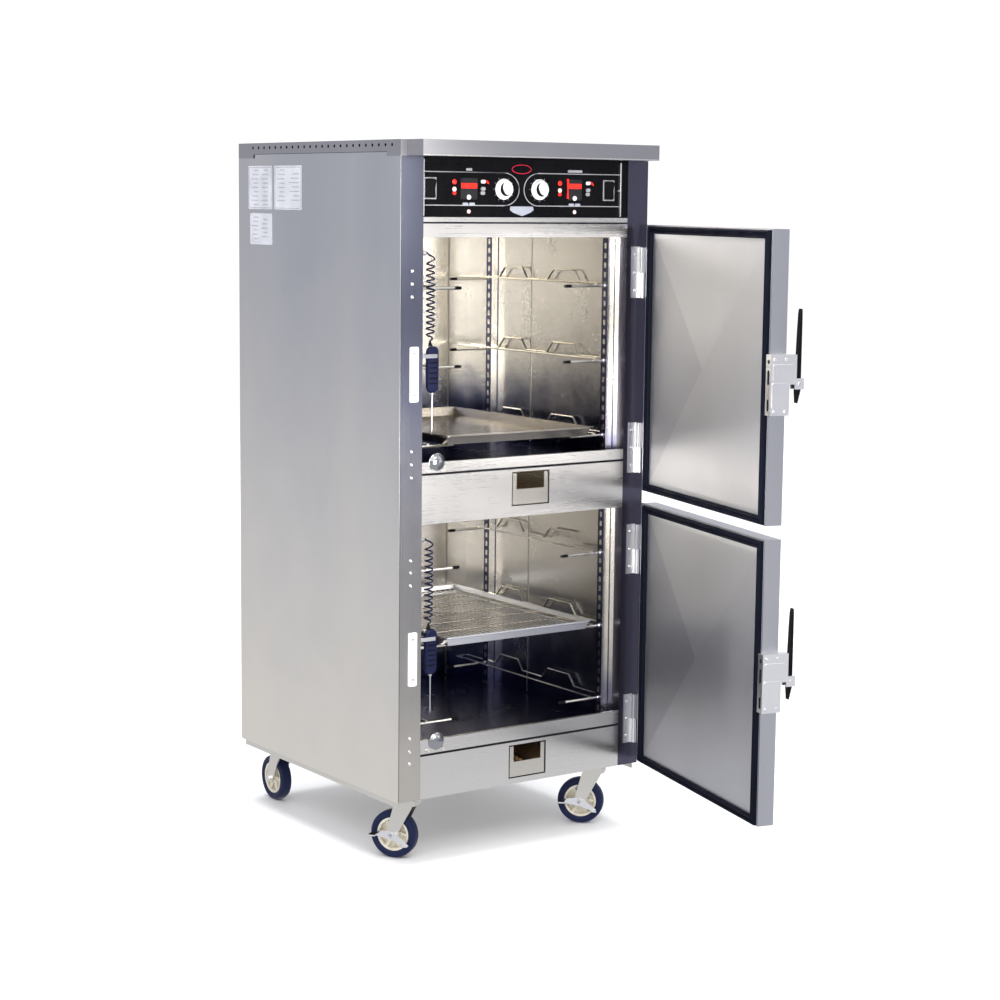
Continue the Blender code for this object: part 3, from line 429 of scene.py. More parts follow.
class Solid:
    """Collects simple closed shapes into one mesh, in the cabinet's own layout or any placed frame."""

    def __init__(self, place=None):
        self.verts, self.faces = [], []
        self.place = place or Matrix.Translation(SHIFT)

    def extend(self, verts, faces):
        start = len(self.verts)
        self.verts += [self.place @ Vector(v) for v in verts]
        self.faces += [tuple(start + i for i in face) for face in faces]
        return self

    def box(self, low, high):
        (a, b, c), (d, e, f) = low, high
        verts = [(a, b, c), (d, b, c), (d, e, c), (a, e, c), (a, b, f), (d, b, f), (d, e, f), (a, e, f)]
        faces = [(0, 3, 2, 1), (4, 5, 6, 7), (0, 1, 5, 4), (1, 2, 6, 5), (2, 3, 7, 6), (3, 0, 4, 7)]
        return self.extend(verts, faces)

    def prism(self, outline, axis, start, end):
        """A closed outline in the plane across an axis, made thick along it."""
        n = len(outline)
        spots = []
        for along in (start, end):
            for u, v in outline:
                spots.append({"X": (along, u, v), "Y": (u, along, v), "Z": (u, v, along)}[axis])
        faces = [tuple(range(n))[::-1], tuple(range(n, 2 * n))]
        faces += [(i, (i + 1) % n, n + (i + 1) % n, n + i) for i in range(n)]
        return self.extend(spots, faces)

    def lathe(self, centre, axis, profile, steps=32):
        """A profile of (radius, height) pairs turned about an axis through the centre."""
        rings = []
        verts, faces = [], []
        for radius, height in profile:
            if radius < 1e-6:
                rings.append([len(verts)] * steps)
                verts.append(self.spin(centre, axis, 0, height, 0))
                continue
            rings.append([len(verts) + i for i in range(steps)])
            for i in range(steps):
                verts.append(self.spin(centre, axis, radius, height, 2 * math.pi * i / steps))
        for low, high in zip(rings, rings[1:]):
            for i in range(steps):
                j = (i + 1) % steps
                corners = []
                for corner in (low[i], low[j], high[j], high[i]):
                    if corner not in corners:
                        corners.append(corner)
                if len(corners) > 2:
                    faces.append(tuple(corners))
        return self.extend(verts, faces)

    @staticmethod
    def spin(centre, axis, radius, height, angle):
        u, v = radius * math.cos(angle), radius * math.sin(angle)
        x, y, z = centre
        return {"X": (x + height, y + u, z + v), "Y": (x + u, y + height, z + v),
                "Z": (x + u, y + v, z + height)}[axis]

    def tube(self, points, radius, sides=8, closed=False):
        """A round wire along points, with flat ends."""
        points = [Vector(p) for p in points]
        n = len(points)
        verts, faces = [], []
        side = None
        for i, point in enumerate(points):
            if closed:
                along = (points[(i + 1) % n] - points[i - 1]).normalized()
            else:
                along = (points[min(i + 1, n - 1)] - points[max(i - 1, 0)]).normalized()
            if side is None:
                helper = Vector((0, 0, 1)) if abs(along.z) < 0.9 else Vector((1, 0, 0))
                side = along.cross(helper).normalized()
            side = (side - along * side.dot(along)).normalized()
            up = along.cross(side)
            stretch = 1.0
            if 0 < i < n - 1 or closed:
                before = (points[i] - points[i - 1]).normalized()
                stretch = 1 / max(0.55, before.dot(along))
            for k in range(sides):
                angle = 2 * math.pi * k / sides
                verts.append(point + radius * stretch * (math.cos(angle) * side + math.sin(angle) * up))
        spans = n if closed else n - 1
        for i in range(spans):
            for k in range(sides):
                a, b = i * sides + k, i * sides + (k + 1) % sides
                c, d = ((i + 1) % n) * sides + (k + 1) % sides, ((i + 1) % n) * sides + k
                faces.append((a, b, c, d))
        if not closed:
            faces.append(tuple(range(sides))[::-1])
            faces.append(tuple((n - 1) * sides + k for k in range(sides)))
        return self.extend(verts, faces)

    def screw(self, centre, axis, radius=0.0035, height=0.0018, direction=-1):
        """A pan-head screw with a round recess, its head pointing along -axis or +axis."""
        d = direction
        profile = [(0, d * height * 0.35), (radius * 0.42, d * height * 0.35),
                   (radius * 0.48, d * height * 0.92),
                   (radius * 0.62, d * height), (radius * 0.88, d * height * 0.75),
                   (radius, d * height * 0.25),
                   (radius, 0), (0, 0)]
        return self.lathe(centre, axis, profile, 18)

    def done(self, name, body, mat, slot, bevel=0.0, smooth=True):
        return mesh_piece(name, self.verts, self.faces, body, mat, bevel, smooth)


def rounded(low_u, low_v, high_u, high_v, radius, steps=5):
    points = []
    for cu, cv, first in ((high_u - radius, low_v + radius, -90), (high_u - radius, high_v - radius, 0),
                          (low_u + radius, high_v - radius, 90), (low_u + radius, low_v + radius, 180)):
        for step in range(steps + 1):
            angle = math.radians(first + 90 * step / steps)
            points.append((cu + radius * math.cos(angle), cv + radius * math.sin(angle)))
    return points


def door_place(cavity):
    """The frame of a door: its closed layout, turned about its hinge as the door rests."""
    hinge = Vector(joint(f"{cavity}_door_hinge")["pos_m"])
    turn = Matrix.Rotation(DOOR_OPEN, 4, "Z")
    return Matrix.Translation(hinge) @ turn @ Matrix.Translation(-hinge) @ Matrix.Translation(SHIFT)


# ---------------------------------------------------------------- carried-over parts

def dress_cad_parts():
    looks = {
        "cabinet_wrap": PANEL, "base_frame": ZINC, "top_cap": CAP, "left_post": POST,
        # the right post takes the painted-shade copy of the post steel
        "right_post": SHADED_HINGE_POST,
        "header_rail": RAIL, "mid_rail": RAIL, "bottom_rail": RAIL, "upper_liner": LINERS["upper"],
        "lower_liner": LINERS["lower"],
        "insulation_wrap": WOOL, "control_fascia": BLACK, "control_chassis": ZINC, "upper_heater": HEATER,
        # The strikes take the white dial plastic, a painted highlight standing in for their bright chrome.
        "lower_heater": HEATER, "upper_strike": WHITE, "lower_strike": WHITE, "power_inlet": SATIN_BLACK,
        "left_switch": SATIN_BLACK, "right_switch": SATIN_BLACK,
    }
    for cavity in CAVITIES:
        looks.update({
            f"{cavity}_left_rack": RACK, f"{cavity}_right_rack": RACK,
            f"{cavity}_pan": BAKED_PAN if cavity == "upper" else PAN,
            f"{cavity}_chip_drawer": CHIP_STEEL, f"{cavity}_door_shell": DOOR,
            f"{cavity}_door_liner": DOOR_INNER,
            f"{cavity}_latch_housing": PLATE, f"{cavity}_latch_lever": SATIN_BLACK,
            f"{cavity}_hinge_top": PLATE, f"{cavity}_hinge_bottom": PLATE,
            f"{cavity}_probe_bracket": CHROME, f"{cavity}_probe": NAVY,
        })
    for caster in CASTER_NAMES:
        looks[f"{caster}_fork"] = ZINC
    looks["front_left_brake"] = looks["front_right_brake"] = CHROME
    for name, mat in looks.items():
        obj = frame["nodes"][name]
        obj.data.materials.clear()
        obj.data.materials.append(mat)
        for polygon in obj.data.polygons:
            polygon.material_index = 0


# ---------------------------------------------------------------- probes and their cords

COIL_RADIUS = 0.0098
CORD_WIDTH = 0.0042
COIL_TURNS = 12
PROBE_X, PROBE_Y = -0.291, 0.012


def ease(t):
    return t * t * (3 - 2 * t)


def cord_route(cavity):
    floor = FLOOR[cavity]
    start = Vector((-0.321 + GAP + 0.014 + GAP, PROBE_Y, floor + 0.548))
    coil_top, coil_low, grip = floor + 0.523, floor + 0.347, floor + 0.317 + GAP
    points = []
    lead = 14
    for i in range(lead):
        t = i / lead
        x = start.x + (PROBE_X - start.x) * t
        y = PROBE_Y + COIL_RADIUS * ease(max(0, t - 0.4) / 0.6)
        points.append((x, y, start.z - 0.004 * t * t))
    first = start.z - 0.004
    lead_turns, tail_turns, per_turn = 0.75, 1.25, 24
    total = lead_turns + COIL_TURNS + tail_turns
    steps = int(total * per_turn)
    for i in range(steps + 1):
        turn = total * i / steps
        angle = math.pi / 2 - 2 * math.pi * turn
        radius = COIL_RADIUS
        if turn < lead_turns:
            t = turn / lead_turns
            z = first + (coil_top - first) * t
        elif turn < lead_turns + COIL_TURNS:
            z = coil_top + (coil_low - coil_top) * (turn - lead_turns) / COIL_TURNS
        else:
            t = (turn - lead_turns - COIL_TURNS) / tail_turns
            radius *= 1 - ease(t)
            z = coil_low + (grip + 0.004 - coil_low) * t
        points.append((PROBE_X + radius * math.cos(angle), PROBE_Y + radius * math.sin(angle), z))
    points.append((PROBE_X, PROBE_Y, grip))
    return [at(*p) for p in points]


def add_probe(cavity):
    route = cord_route(cavity)
    curve = bpy.data.curves.new(f"{cavity}_curly_cord", "CURVE")
    curve.dimensions = "3D"
    curve.bevel_depth = CORD_WIDTH / 2
    curve.bevel_resolution = 3
    curve.use_fill_caps = True
    spline = curve.splines.new("POLY")
    spline.points.add(len(route) - 1)
    for point, place in zip(spline.points, route):
        point.co = (*place, 1)
    spline.use_smooth = True
    cord = bpy.data.objects.new(f"{cavity}_curly_cord", curve)
    MADE.objects.link(cord)
    curve.materials.append(NAVY)
    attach(cord, "cabinet")
    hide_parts(f"{cavity}_probe_cord")

    floor = FLOOR[cavity]
    relief = Solid()
    relief.lathe((-0.3067, PROBE_Y, floor + 0.548), "X",
                 [(0, 0.0), (0.0052, 0.0), (0.0052, 0.0012), (0.0030, 0.0045), (0.0026, 0.0070), (0, 0.0070)],
                 20)
    top = floor + 0.317
    relief.lathe((PROBE_X, PROBE_Y, top), "Z",
                 [(0, 0), (0.0060, 0), (0.0060, 0.0020), (0.0040, 0.0050), (0.0028, 0.0130), (0, 0.0130)], 20)
    relief.done(f"{cavity}_cord_relief", "cabinet", SATIN_BLACK, "probe_plastic")

    low, high = (Vector(c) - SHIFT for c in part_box(f"{cavity}_probe"))
    grip_low = floor + 0.199
    centre_y = (low.y + high.y) / 2
    grip = Solid()
    grip.prism(rounded(low.x + 0.0005, grip_low, high.x - 0.0005, high.z - 0.0005, 0.0150, 7), "Y",
               low.y + 0.0004, high.y - 0.0004)
    handle = grip.done(f"{cavity}_probe_grip", "cabinet", NAVY, "probe_plastic", 0.0045)
    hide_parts(f"{cavity}_probe")
    ribs = Solid()
    for i in range(6):
        z = grip_low + 0.022 + 0.013 * i
        ribs.prism(rounded(low.x + 0.0045, z, high.x - 0.0045, z + 0.0042, 0.0020, 3), "Y", low.y + 0.0001,
                   high.y - 0.0001)
    ribs.done(f"{cavity}_probe_ribs", "cabinet", SATIN_BLACK, "probe_plastic", 0.0006)
    needle = Solid()
    needle.lathe(((low.x + high.x) / 2, centre_y, grip_low), "Z",
                 [(0, -0.105), (0.0006, -0.103), (0.0019, -0.090), (0.0019, -0.006), (0.0050, -0.004),
                  (0.0050, 0), (0, 0)], 20)
    needle.done(f"{cavity}_probe_needle", "cabinet", CHROME, "chrome")
    screws = Solid()
    for z in (floor + 0.558, floor + 0.275):
        screws.screw((-0.3187, PROBE_Y, z), "X", 0.0030, 0.0015, 1)
    screws.done(f"{cavity}_probe_screws", "cabinet", CHROME, "chrome")


# ---------------------------------------------------------------- controls

def ribbon(points, width):
    """A closed outline that follows an open path of (x, z) points with a given width."""
    sides = ([], [])
    for i, point in enumerate(points):
        a = Vector(points[max(i - 1, 0)])
        b = Vector(points[min(i + 1, len(points) - 1)])
        along = (b - a).normalized()
        across = Vector((-along.y, along.x)) * width / 2
        sides[0].append(tuple(Vector(point) + across))
        sides[1].append(tuple(Vector(point) - across))
    return sides[0] + sides[1][::-1]


def ellipse(x, z, rx, rz, steps=32):
    return [(x + rx * math.cos(2 * math.pi * i / steps),
             z + rz * math.sin(2 * math.pi * i / steps)) for i in range(steps)]


def loop_path(end_x, knob_x, bulge):
    """A frame line round a control group: two straight lines joined by an arc that passes the knob."""
    top, low, middle = 1.7690, 1.6865, 1.7275
    reach = abs(bulge - knob_x)
    points = [(end_x, top), (knob_x, top)]
    sign = 1 if bulge > knob_x else -1
    for i in range(1, 16):
        angle = math.pi / 2 - math.pi * i / 16
        points.append((knob_x + sign * reach * math.cos(angle), middle + (top - low) / 2 * math.sin(angle)))
    return points + [(knob_x, low), (end_x, low)]


def add_controls():
    face = FASCIA_Y - 0.0001
    lines = Solid()
    for end_x, knob_x, bulge in ((-0.316, -0.075, -0.027), (0.296, 0.034, -0.012)):
        path = loop_path(end_x, knob_x, bulge)
        outline = ribbon(path, 0.0022)
        half = len(path)
        left, right = outline[:half], outline[half:][::-1]
        for i in range(half - 1):
            quad = [left[i], left[i + 1], right[i + 1], right[i]]
            lines.prism(quad, "Y", face - 0.0004, face)
    lines.done("control_frame_lines", "cabinet", GREY_PRINT, "black_panel")

    trim = Solid()
    for x in (0.2985, -0.3190):
        trim.prism(rounded(x - 0.0018, 1.660, x + 0.0018, 1.800, 0.0012, 3), "Y", face - 0.0045, face)
    trim.lathe((0.2925, face, 1.7275), "Y", [(0, -0.006), (0.0026, -0.006), (0.0036, -0.004), (0.0036, 0),
                                             (0, 0)], 18)
    trim.done("control_trim", "cabinet", RAIL, "brushed_steel", 0.0004)

    glow, pink, dim, silver, whites, greys = (Solid() for _ in range(6))
    for x in (-0.2255, 0.1020):
        glow.lathe((x, face, 1.7448), "Y", [(0, -0.0022), (0.0035, -0.0020), (0.0060, -0.0008), (0.0062, 0),
                                            (0, 0)], 24)
        pink.lathe((x, face, 1.7265), "Y", [(0, -0.0020), (0.0035, -0.0018), (0.0058, -0.0008), (0.0060, 0),
                                            (0, 0)], 24)
        glow.prism(ellipse(x, 1.7165, 0.0052, 0.0042, 20), "Y", face - 0.0006, face)
    for x, half, z in ((-0.1818, 0.0246, 1.7354), (0.1499, 0.0215, 1.7376)):
        dim.prism(rounded(x - half - 0.001, 1.7015, x + half + 0.001, 1.7545, 0.004), "Y", face - 0.0012,
                  face)
        glow.prism(rounded(x - half + 0.001, z - 0.0062, x + half - 0.001, z + 0.0062, 0.001, 3), "Y",
                   face - 0.0019, face - 0.001)
        whites.lathe((x - 0.001, face, 1.7070), "Y",
                     [(0, -0.0050), (0.0044, -0.0048), (0.0060, -0.0034), (0.0063, -0.0010), (0.0063, 0),
                      (0, 0)], 24)
        pink.lathe((x, face, 1.6715), "Y", [(0, -0.0030), (0.0036, -0.0026), (0.0052, -0.0010), (0.0052, 0),
                                            (0, 0)], 24)
        silver.prism(rounded(x - 0.019, 1.6865, x - 0.002, 1.6935, 0.0025), "Y", face - 0.0012, face)
        silver.prism(rounded(x + 0.001, 1.6865, x + 0.018, 1.6935, 0.0025), "Y", face - 0.0012, face)
        greys.prism(rounded(x - 0.018 * (1.3 if x > 0 else 0.5), 1.7725, x + 0.018 * (1.3 if x > 0 else 0.5),
                            1.7790, 0.002),
                    "Y", face - 0.0006, face)
        key_x = x + 0.0425
        for key_z in (1.7460, 1.7282, 1.7175):
            target = whites if key_z > 1.74 else greys
            target.prism(rounded(key_x - 0.0068, key_z - 0.0045, key_x + 0.0068, key_z + 0.0045, 0.0040), "Y",
                         face - 0.0028 if key_z > 1.72 else face - 0.0008, face)
        glow.prism([(x + 0.051, 1.7500), (x + 0.058, 1.7475), (x + 0.062, 1.7395), (x + 0.054, 1.7435)], "Y",
                   face - 0.0006, face)
    glow.prism([(0.1235, 1.7560), (0.1300, 1.7560), (0.1275, 1.7300), (0.1300, 1.7060), (0.1240, 1.7060),
                (0.1255, 1.7300)],
               "Y", face - 0.0018, face - 0.001)
    dim.done("display_windows", "cabinet", DIM_PRINT, "black_panel", 0.0003)
    glow.done("display_lights", "cabinet", RED, "black_panel")
    pink.done("pilot_lamps", "cabinet", PINK, "black_panel")
    whites.done("membrane_keys", "cabinet", WHITE, "black_panel", 0.0004)
    greys.done("membrane_keys_grey", "cabinet", GREY_PRINT, "black_panel", 0.0003)

    # The red rim carries a painted glow.
    badge = Solid()
    badge.prism(ellipse(-0.0202, 1.7785, 0.0310, 0.0120, 40), "Y", face - 0.0010, face)
    badge.done("oval_badge_rim", "cabinet", DEEP_RED, "black_panel", 0.0003)
    badge = Solid()
    badge.prism(ellipse(-0.0202, 1.7785, 0.0285, 0.0098, 40), "Y", face - 0.0016, face - 0.0008)
    badge.done("oval_badge", "cabinet", BLACK, "black_panel", 0.0003)
    silver.prism([(-0.0540, 1.6850), (0.0165, 1.6850), (0.0185, 1.6760), (0.0080, 1.6690), (-0.0180, 1.6605),
                  (-0.0450, 1.6690), (-0.0560, 1.6760)][::-1], "Y", face - 0.0012, face)
    silver.done("blank_badges", "cabinet", SILVER_PRINT, "black_panel", 0.0004)

    screws = Solid()
    for x in (-0.309, 0.309):
        for z in (1.668, 1.796):
            screws.screw((x, face, z), "Y", 0.0032, 0.0016)
    screws.done("fascia_screws", "cabinet", SATIN_BLACK, "black_panel")

    for side in ("left", "right"):
        x, z = -0.075 if side == "left" else 0.037, 1.728
        knob = Solid()
        knob.lathe((x, face - 0.0003, z), "Y", [
            (0, -0.0105), (0.0190, -0.0105), (0.0222, -0.0098), (0.0236, -0.0080), (0.0240, -0.0030),
            (0.0262, -0.0024),
            (0.0265, -0.0012), (0.0265, 0), (0, 0)], 48)
        knob.prism(ellipse(x + 0.0030, z - 0.0005, 0.0105, 0.0130, 28), "Y", face - 0.0198, face - 0.0100)
        dial = knob.done(f"{side}_dial_cap", f"{side}_dial", WHITE, "black_panel", 0.0012)
        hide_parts(f"{side}_knob")
        crescent = []
        for i in range(13):
            angle = math.radians(105 + 195 * i / 12)
            crescent.append((x + 0.0178 * math.cos(angle), z + 0.0178 * math.sin(angle)))
        for i in range(12, -1, -1):
            angle = math.radians(105 + 195 * i / 12)
            thin = 0.0178 - 0.0088 * math.sin(math.pi * i / 12)
            crescent.append((x + thin * math.cos(angle), z + thin * math.sin(angle)))
        mark = Solid()
        mark.prism(crescent[::-1], "Y", face - 0.0120, face - 0.0102)
        for i in range(11):
            angle = math.radians(-240 + 30 * i)
            u, v = math.cos(angle), math.sin(angle)
            mark.prism(ribbon([(x + 0.0200 * u, z + 0.0200 * v), (x + 0.0222 * u, z + 0.0222 * v)], 0.0008),
                       "Y",
                       face - 0.0108, face - 0.0099)
        mark.done(f"{side}_dial_marks", f"{side}_dial", SATIN_BLACK, "black_panel")
        ticks = Solid()
        for i in range(11):
            angle = math.radians(-240 + 30 * i)
            u, v = math.cos(angle), math.sin(angle)
            ticks.prism(ribbon([(x + 0.0285 * u, z + 0.0285 * v), (x + 0.0315 * u, z + 0.0315 * v)], 0.0011),
                        "Y",
                        face - 0.0003, face)
        ticks.done(f"{side}_dial_ticks", "cabinet", GREY_PRINT, "black_panel")

    for x in (-0.299, 0.260):
        bezel = Solid()
        wide, tall, inner_wide, inner_tall = 0.0185, 0.0268, 0.0152, 0.0236
        for low_x, low_z, high_x, high_z in (
                (-wide, -tall, wide, -inner_tall), (-wide, inner_tall, wide, tall),
                (-wide, -inner_tall - 0.0005, -inner_wide, inner_tall + 0.0005),
                (inner_wide, -inner_tall - 0.0005, wide, inner_tall + 0.0005)):
            bezel.box((x + low_x, face - 0.0028, 1.728 + low_z), (x + high_x, face, 1.728 + high_z))
        side = "left" if x < 0 else "right"
        bezel.done(f"{side}_switch_bezel", "cabinet", GREY_PRINT, "black_panel", 0.0006)


# ---------------------------------------------------------------- body details

def add_body_details():
    screws = Solid()
    for z in (1.5247, 1.4927, 1.4607, 1.0749, 1.0422, 1.0094, 0.7991, 0.7685, 0.7353, 0.3404, 0.3065, 0.2751):
        screws.screw((-0.3535, 0, z), "Y", 0.0044, 0.0022)
    for cavity in CAVITIES:
        for rise in HINGE_RISES:
            for step in (0.020, 0.0675, 0.115):
                screws.screw((0.3470, -0.0023, DOOR_LOW[cavity] + rise + step), "Y", 0.0040, 0.0018)
        for dz in (-0.052, 0.052):
            screws.screw((-0.3472, -0.0033, LATCH_MIDDLE[cavity] + dz), "Y", 0.0042, 0.0004)
    screws.done("front_screws", "cabinet", CHROME, "chrome")

    # Dark strips in the grooves on the rail tops and under the header rail.
    dark_lines = Solid()
    for low in (1.012, 0.289):
        dark_lines.box((-0.3204, 0.0012, low + 0.0004), (0.3204, 0.0058, low + 0.0056))
    dark_lines.box((-0.3204, 0.0005, 1.6412), (0.3204, 0.0048, 1.6452))
    dark_lines.done("front_dark_lines", "cabinet", DARK, "gasket_rubber")

    posts = Solid()
    for x in (-0.3862, 0.3856):
        posts.box((x, -0.0008, 0.178), (x + 0.0006, 0.0006, 1.805))
    posts.done("post_corner_seams", "cabinet", DARK, "brushed_steel")

    plates = Solid()
    x = -HALF
    framed = ((0.640, 0.770, 1.669, 1.785), (0.483, 0.628, 1.669, 1.785))
    for low_y, high_y, low_z, high_z in (*framed, (0.640, 0.762, 1.574, 1.658)):
        plates.prism(rounded(low_y, low_z, high_y, high_z, 0.004), "X", x - 0.0003, x)
    plates.done("side_placards", "cabinet", PLACARD, "brushed_steel")
    marks = Solid()
    for y, z, wide, rows in ((0.735, 1.772, 0.040, 9), (0.682, 1.772, 0.036, 9), (0.592, 1.772, 0.040, 8),
                             (0.522, 1.762, 0.056, 7),
                             (0.735, 1.646, 0.036, 6), (0.684, 1.640, 0.034, 5)):
        for row in range(rows):
            level = z - 0.0115 * row
            short = 0.6 + 0.4 * ((row * 7) % 5) / 4
            marks.box((x - 0.0006, y - wide / 2, level),
                      (x - 0.0002, y - wide / 2 + wide * short, level + 0.0026))
    for low_y, high_y, low_z, high_z in framed:
        for edge_z in (low_z + 0.003, high_z - 0.005):
            marks.box((x - 0.0006, low_y + 0.004, edge_z), (x - 0.0004, high_y - 0.004, edge_z + 0.0016))
        for edge_y in (low_y + 0.003, high_y - 0.005):
            marks.box((x - 0.0006, edge_y, low_z + 0.004), (x - 0.0004, edge_y + 0.0016, high_z - 0.004))
    marks.done("side_placard_marks", "cabinet", PLACARD_GREY, "brushed_steel")

    seams = Solid()
    for x in (-HALF - 0.0003, HALF - 0.0003):
        seams.box((x, 0.735, 1.805), (x + 0.0006, 0.742, 1.8155))
        seams.box((x, 0.064, 1.8155), (x + 0.0006, 0.735, 1.8166))
    seams.done("skirt_seams", "cabinet", DARK, "brushed_steel")

    hem = Solid()
    hem.box((-0.3680, -0.0705, 1.8066), (0.3680, -0.0698, 1.8096))
    hem.done("visor_hem", "cabinet", RAIL, "brushed_steel", 0.0002)

    back = Solid()
    y = DEPTH
    for x in (-0.372, -0.186, 0, 0.186, 0.372):
        for z in (0.195, 0.60, 1.01, 1.42, 1.79):
            back.screw((x, y, z), "Y", 0.0042, 0.0022, 1)
    back.done("back_screws", "cabinet", CHROME, "chrome")
    panel = Solid()
    panel.prism(rounded(-0.160, 1.470, 0.160, 1.770, 0.006), "Y", y + 0.0001, y + 0.0016)
    panel.prism(rounded(-0.330, 0.230, 0.330, 0.262, 0.004), "Y", y + 0.0001, y + 0.0014)
    panel.done("back_service_panel", "cabinet", PANEL, "brushed_steel", 0.0005)
    louvres = Solid()
    for i in range(9):
        z = 1.520 + 0.024 * i
        outline = [(y + 0.0015, z), (y + 0.0075, z + 0.001), (y + 0.0015, z + 0.011)]
        louvres.prism(outline, "X", -0.120, 0.120)
    louvres.done("back_louvres", "cabinet", PANEL, "brushed_steel", 0.0004)
    prongs = Solid()
    prongs.screw((0.212, y + 0.0043, 1.660), "Y", 0.0034, 0.0018, 1)
    prongs.screw((0.288, y + 0.0043, 1.740), "Y", 0.0034, 0.0018, 1)
    prongs.lathe((0.250, y + 0.0223, 1.700), "Y", [(0, 0.0), (0.0075, 0.0), (0.0075, -0.0035),
                                                   (0.0125, -0.0040), (0.0145, -0.0120), (0, -0.0120)][::-1],
                                                   24)
    prongs.done("inlet_collar", "cabinet", CHROME, "black_panel")

    bolts = Solid()
    for name in CASTER_NAMES:
        pos = Vector(joint(f"{name}_swivel")["pos_m"]) - SHIFT
        for dx in (-0.039, 0.039):
            for dy in (-0.028, 0.028):
                bolts.lathe((pos.x + dx, pos.y + dy, 0.1697), "Z",
                            [(0, -0.0028), (0.0052, -0.0028), (0.0058, -0.0022), (0.0058, 0), (0, 0)], 6)
    bolts.done("caster_plate_bolts", "cabinet", CHROME, "brushed_steel")


def add_sill_stops():
    """The round plungers at the left end of each sill."""
    for cavity, x, z in (("upper", -0.277, 1.0440), ("lower", -0.273, 0.3235)):
        dome = Solid()
        dome.lathe((x, 0, z), "Y", [(0, -0.0106), (0.0070, -0.0100), (0.0140, -0.0082), (0.0195, -0.0050),
                                    (0.0215, -0.0022), (0.0235, -0.0016), (0.0240, 0.0), (0, 0.0)], 40)
        dome.done(f"{cavity}_sill_plunger", "cabinet", GLASSY, "chrome")
        foot = Solid()
        foot.prism(rounded(x - 0.030, z - 0.026, x + 0.028, z - 0.0170, 0.003), "Y", -0.0030, 0)
        foot.screw((x - 0.0235, -0.0030, z - 0.0215), "Y", 0.0028, 0.0014)
        foot.screw((x + 0.0215, -0.0030, z - 0.0215), "Y", 0.0028, 0.0014)
        foot.done(f"{cavity}_sill_plate", "cabinet", RAIL, "brushed_steel", 0.0005)


# ---------------------------------------------------------------- cavity details

def add_cavity(cavity):
    floor = FLOOR[cavity]
    ceiling = CEILING[cavity]
    seams = Solid()
    for x in (-0.252, 0.252):
        seams.box((x - 0.0022, 0.7405, floor + 0.004), (x + 0.0022, 0.7420, ceiling - 0.004))
    for x in (-0.3210, 0.3198):
        seams.box((x, 0.4230, floor + 0.004), (x + 0.0012, 0.4270, ceiling - 0.004))
    seams.done(f"{cavity}_liner_seams", "cabinet", SEAM, "liner_steel")

    # Painted shade: navy skins on the rack uprights' inner faces, with a dark strip along each front edge.
    slots, tips, rivets, painted_shade_skins = Solid(), Solid(), Solid(), Solid()
    for side in (-1, 1):
        inner = side * (0.3207 - 0.022)
        for y in (0.050, 0.590):
            painted_shade_skins.box((min(inner, inner - side * 0.0003), y + 0.0004, floor + 0.004),
                      (max(inner, inner - side * 0.0003), y + 0.0256, ceiling - 0.004))
            edge = sorted((side * 0.3190, side * 0.3206))
            painted_shade_skins.box((edge[0], y - 0.0003, floor + 0.004), (edge[1], y, ceiling - 0.004))
            z = floor + 0.022
            while z < ceiling - 0.03:
                slots.prism(rounded(y + 0.0085, z, y + 0.0175, z + 0.0145, 0.0022, 3), "X",
                            *sorted((inner, inner - side * 0.0006)))
                z += 0.0254
        for rise in (0.064, 0.264, 0.464):
            z = floor + rise - 0.006
            for y in (0.063, 0.603):
                ends = sorted((side * 0.1645, side * 0.186))
                tips.lathe((ends[0], y, z), "X", [(0, 0), (0.0030, 0.0002), (0.0042, 0.0012),
                                                  (0.0042, ends[1] - ends[0]), (0, ends[1] - ends[0])], 20)
                collar = sorted((side * 0.2987, side * 0.2950))
                rivets.lathe((collar[0], y, z), "X", [(0, 0), (0.0062, 0), (0.0062, 0.0037), (0, 0.0037)], 20)
    slots.done(f"{cavity}_rack_slots", "cabinet", RACK, "rack_wire")
    painted_shade_skins.done(f"{cavity}_rack_skins", "cabinet", RACK_PAINTED_SHADE, "rack_wire")
    tips.done(f"{cavity}_rod_tips", "cabinet", SATIN_BLACK, "rack_wire")
    rivets.done(f"{cavity}_rod_collars", "cabinet", CHROME, "rack_wire", 0.0003)


def add_pan(cavity):
    low, high = (Vector(c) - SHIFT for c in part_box(f"{cavity}_pan"))
    bead = Solid()
    inset, z = 0.0028, high.z - 0.0034
    corner = 0.012
    path = []
    for cx, cy, first in ((high.x - inset - corner, low.y + inset + corner, -90),
                          (high.x - inset - corner, high.y - inset - corner, 0),
                          (low.x + inset + corner, high.y - inset - corner, 90),
                          (low.x + inset + corner, low.y + inset + corner, 180)):
        for i in range(7):
            angle = math.radians(first + 15 * i)
            path.append((cx + corner * math.cos(angle), cy + corner * math.sin(angle), z))
    bead.tube(path, 0.0026, 10, closed=True)
    bead.done(f"{cavity}_pan_bead", f"{cavity}_tray", BAKED_PAN if cavity == "upper" else PAN,
              "pan_aluminium")
    if cavity == "lower":
        grate = Solid()
        top = low.z + 0.0135
        left, right, front, back = low.x + 0.020, high.x - 0.020, low.y + 0.022, high.y - 0.022
        frame_path = [(left, front, top), (right, front, top), (right, back, top), (left, back, top)]
        grate.tube(frame_path, 0.0021, 8, closed=True)
        for i in range(1, 26):
            x = left + (right - left) * i / 26
            grate.tube([(x, front, top + 0.001), (x, back, top + 0.001)], 0.0010, 6)
        for i in range(1, 6):
            y = front + (back - front) * i / 6
            grate.tube([(left, y, top - 0.0012), (right, y, top - 0.0012)], 0.0016, 6)
        for x in (left + 0.02, right - 0.02):
            for y in (front + 0.04, back - 0.04):
                grate.tube([(x, y, top), (x, y, low.z + 0.0015)], 0.0018, 6)
        grate.done("lower_pan_grate", "lower_tray", WIRE, "rack_wire")


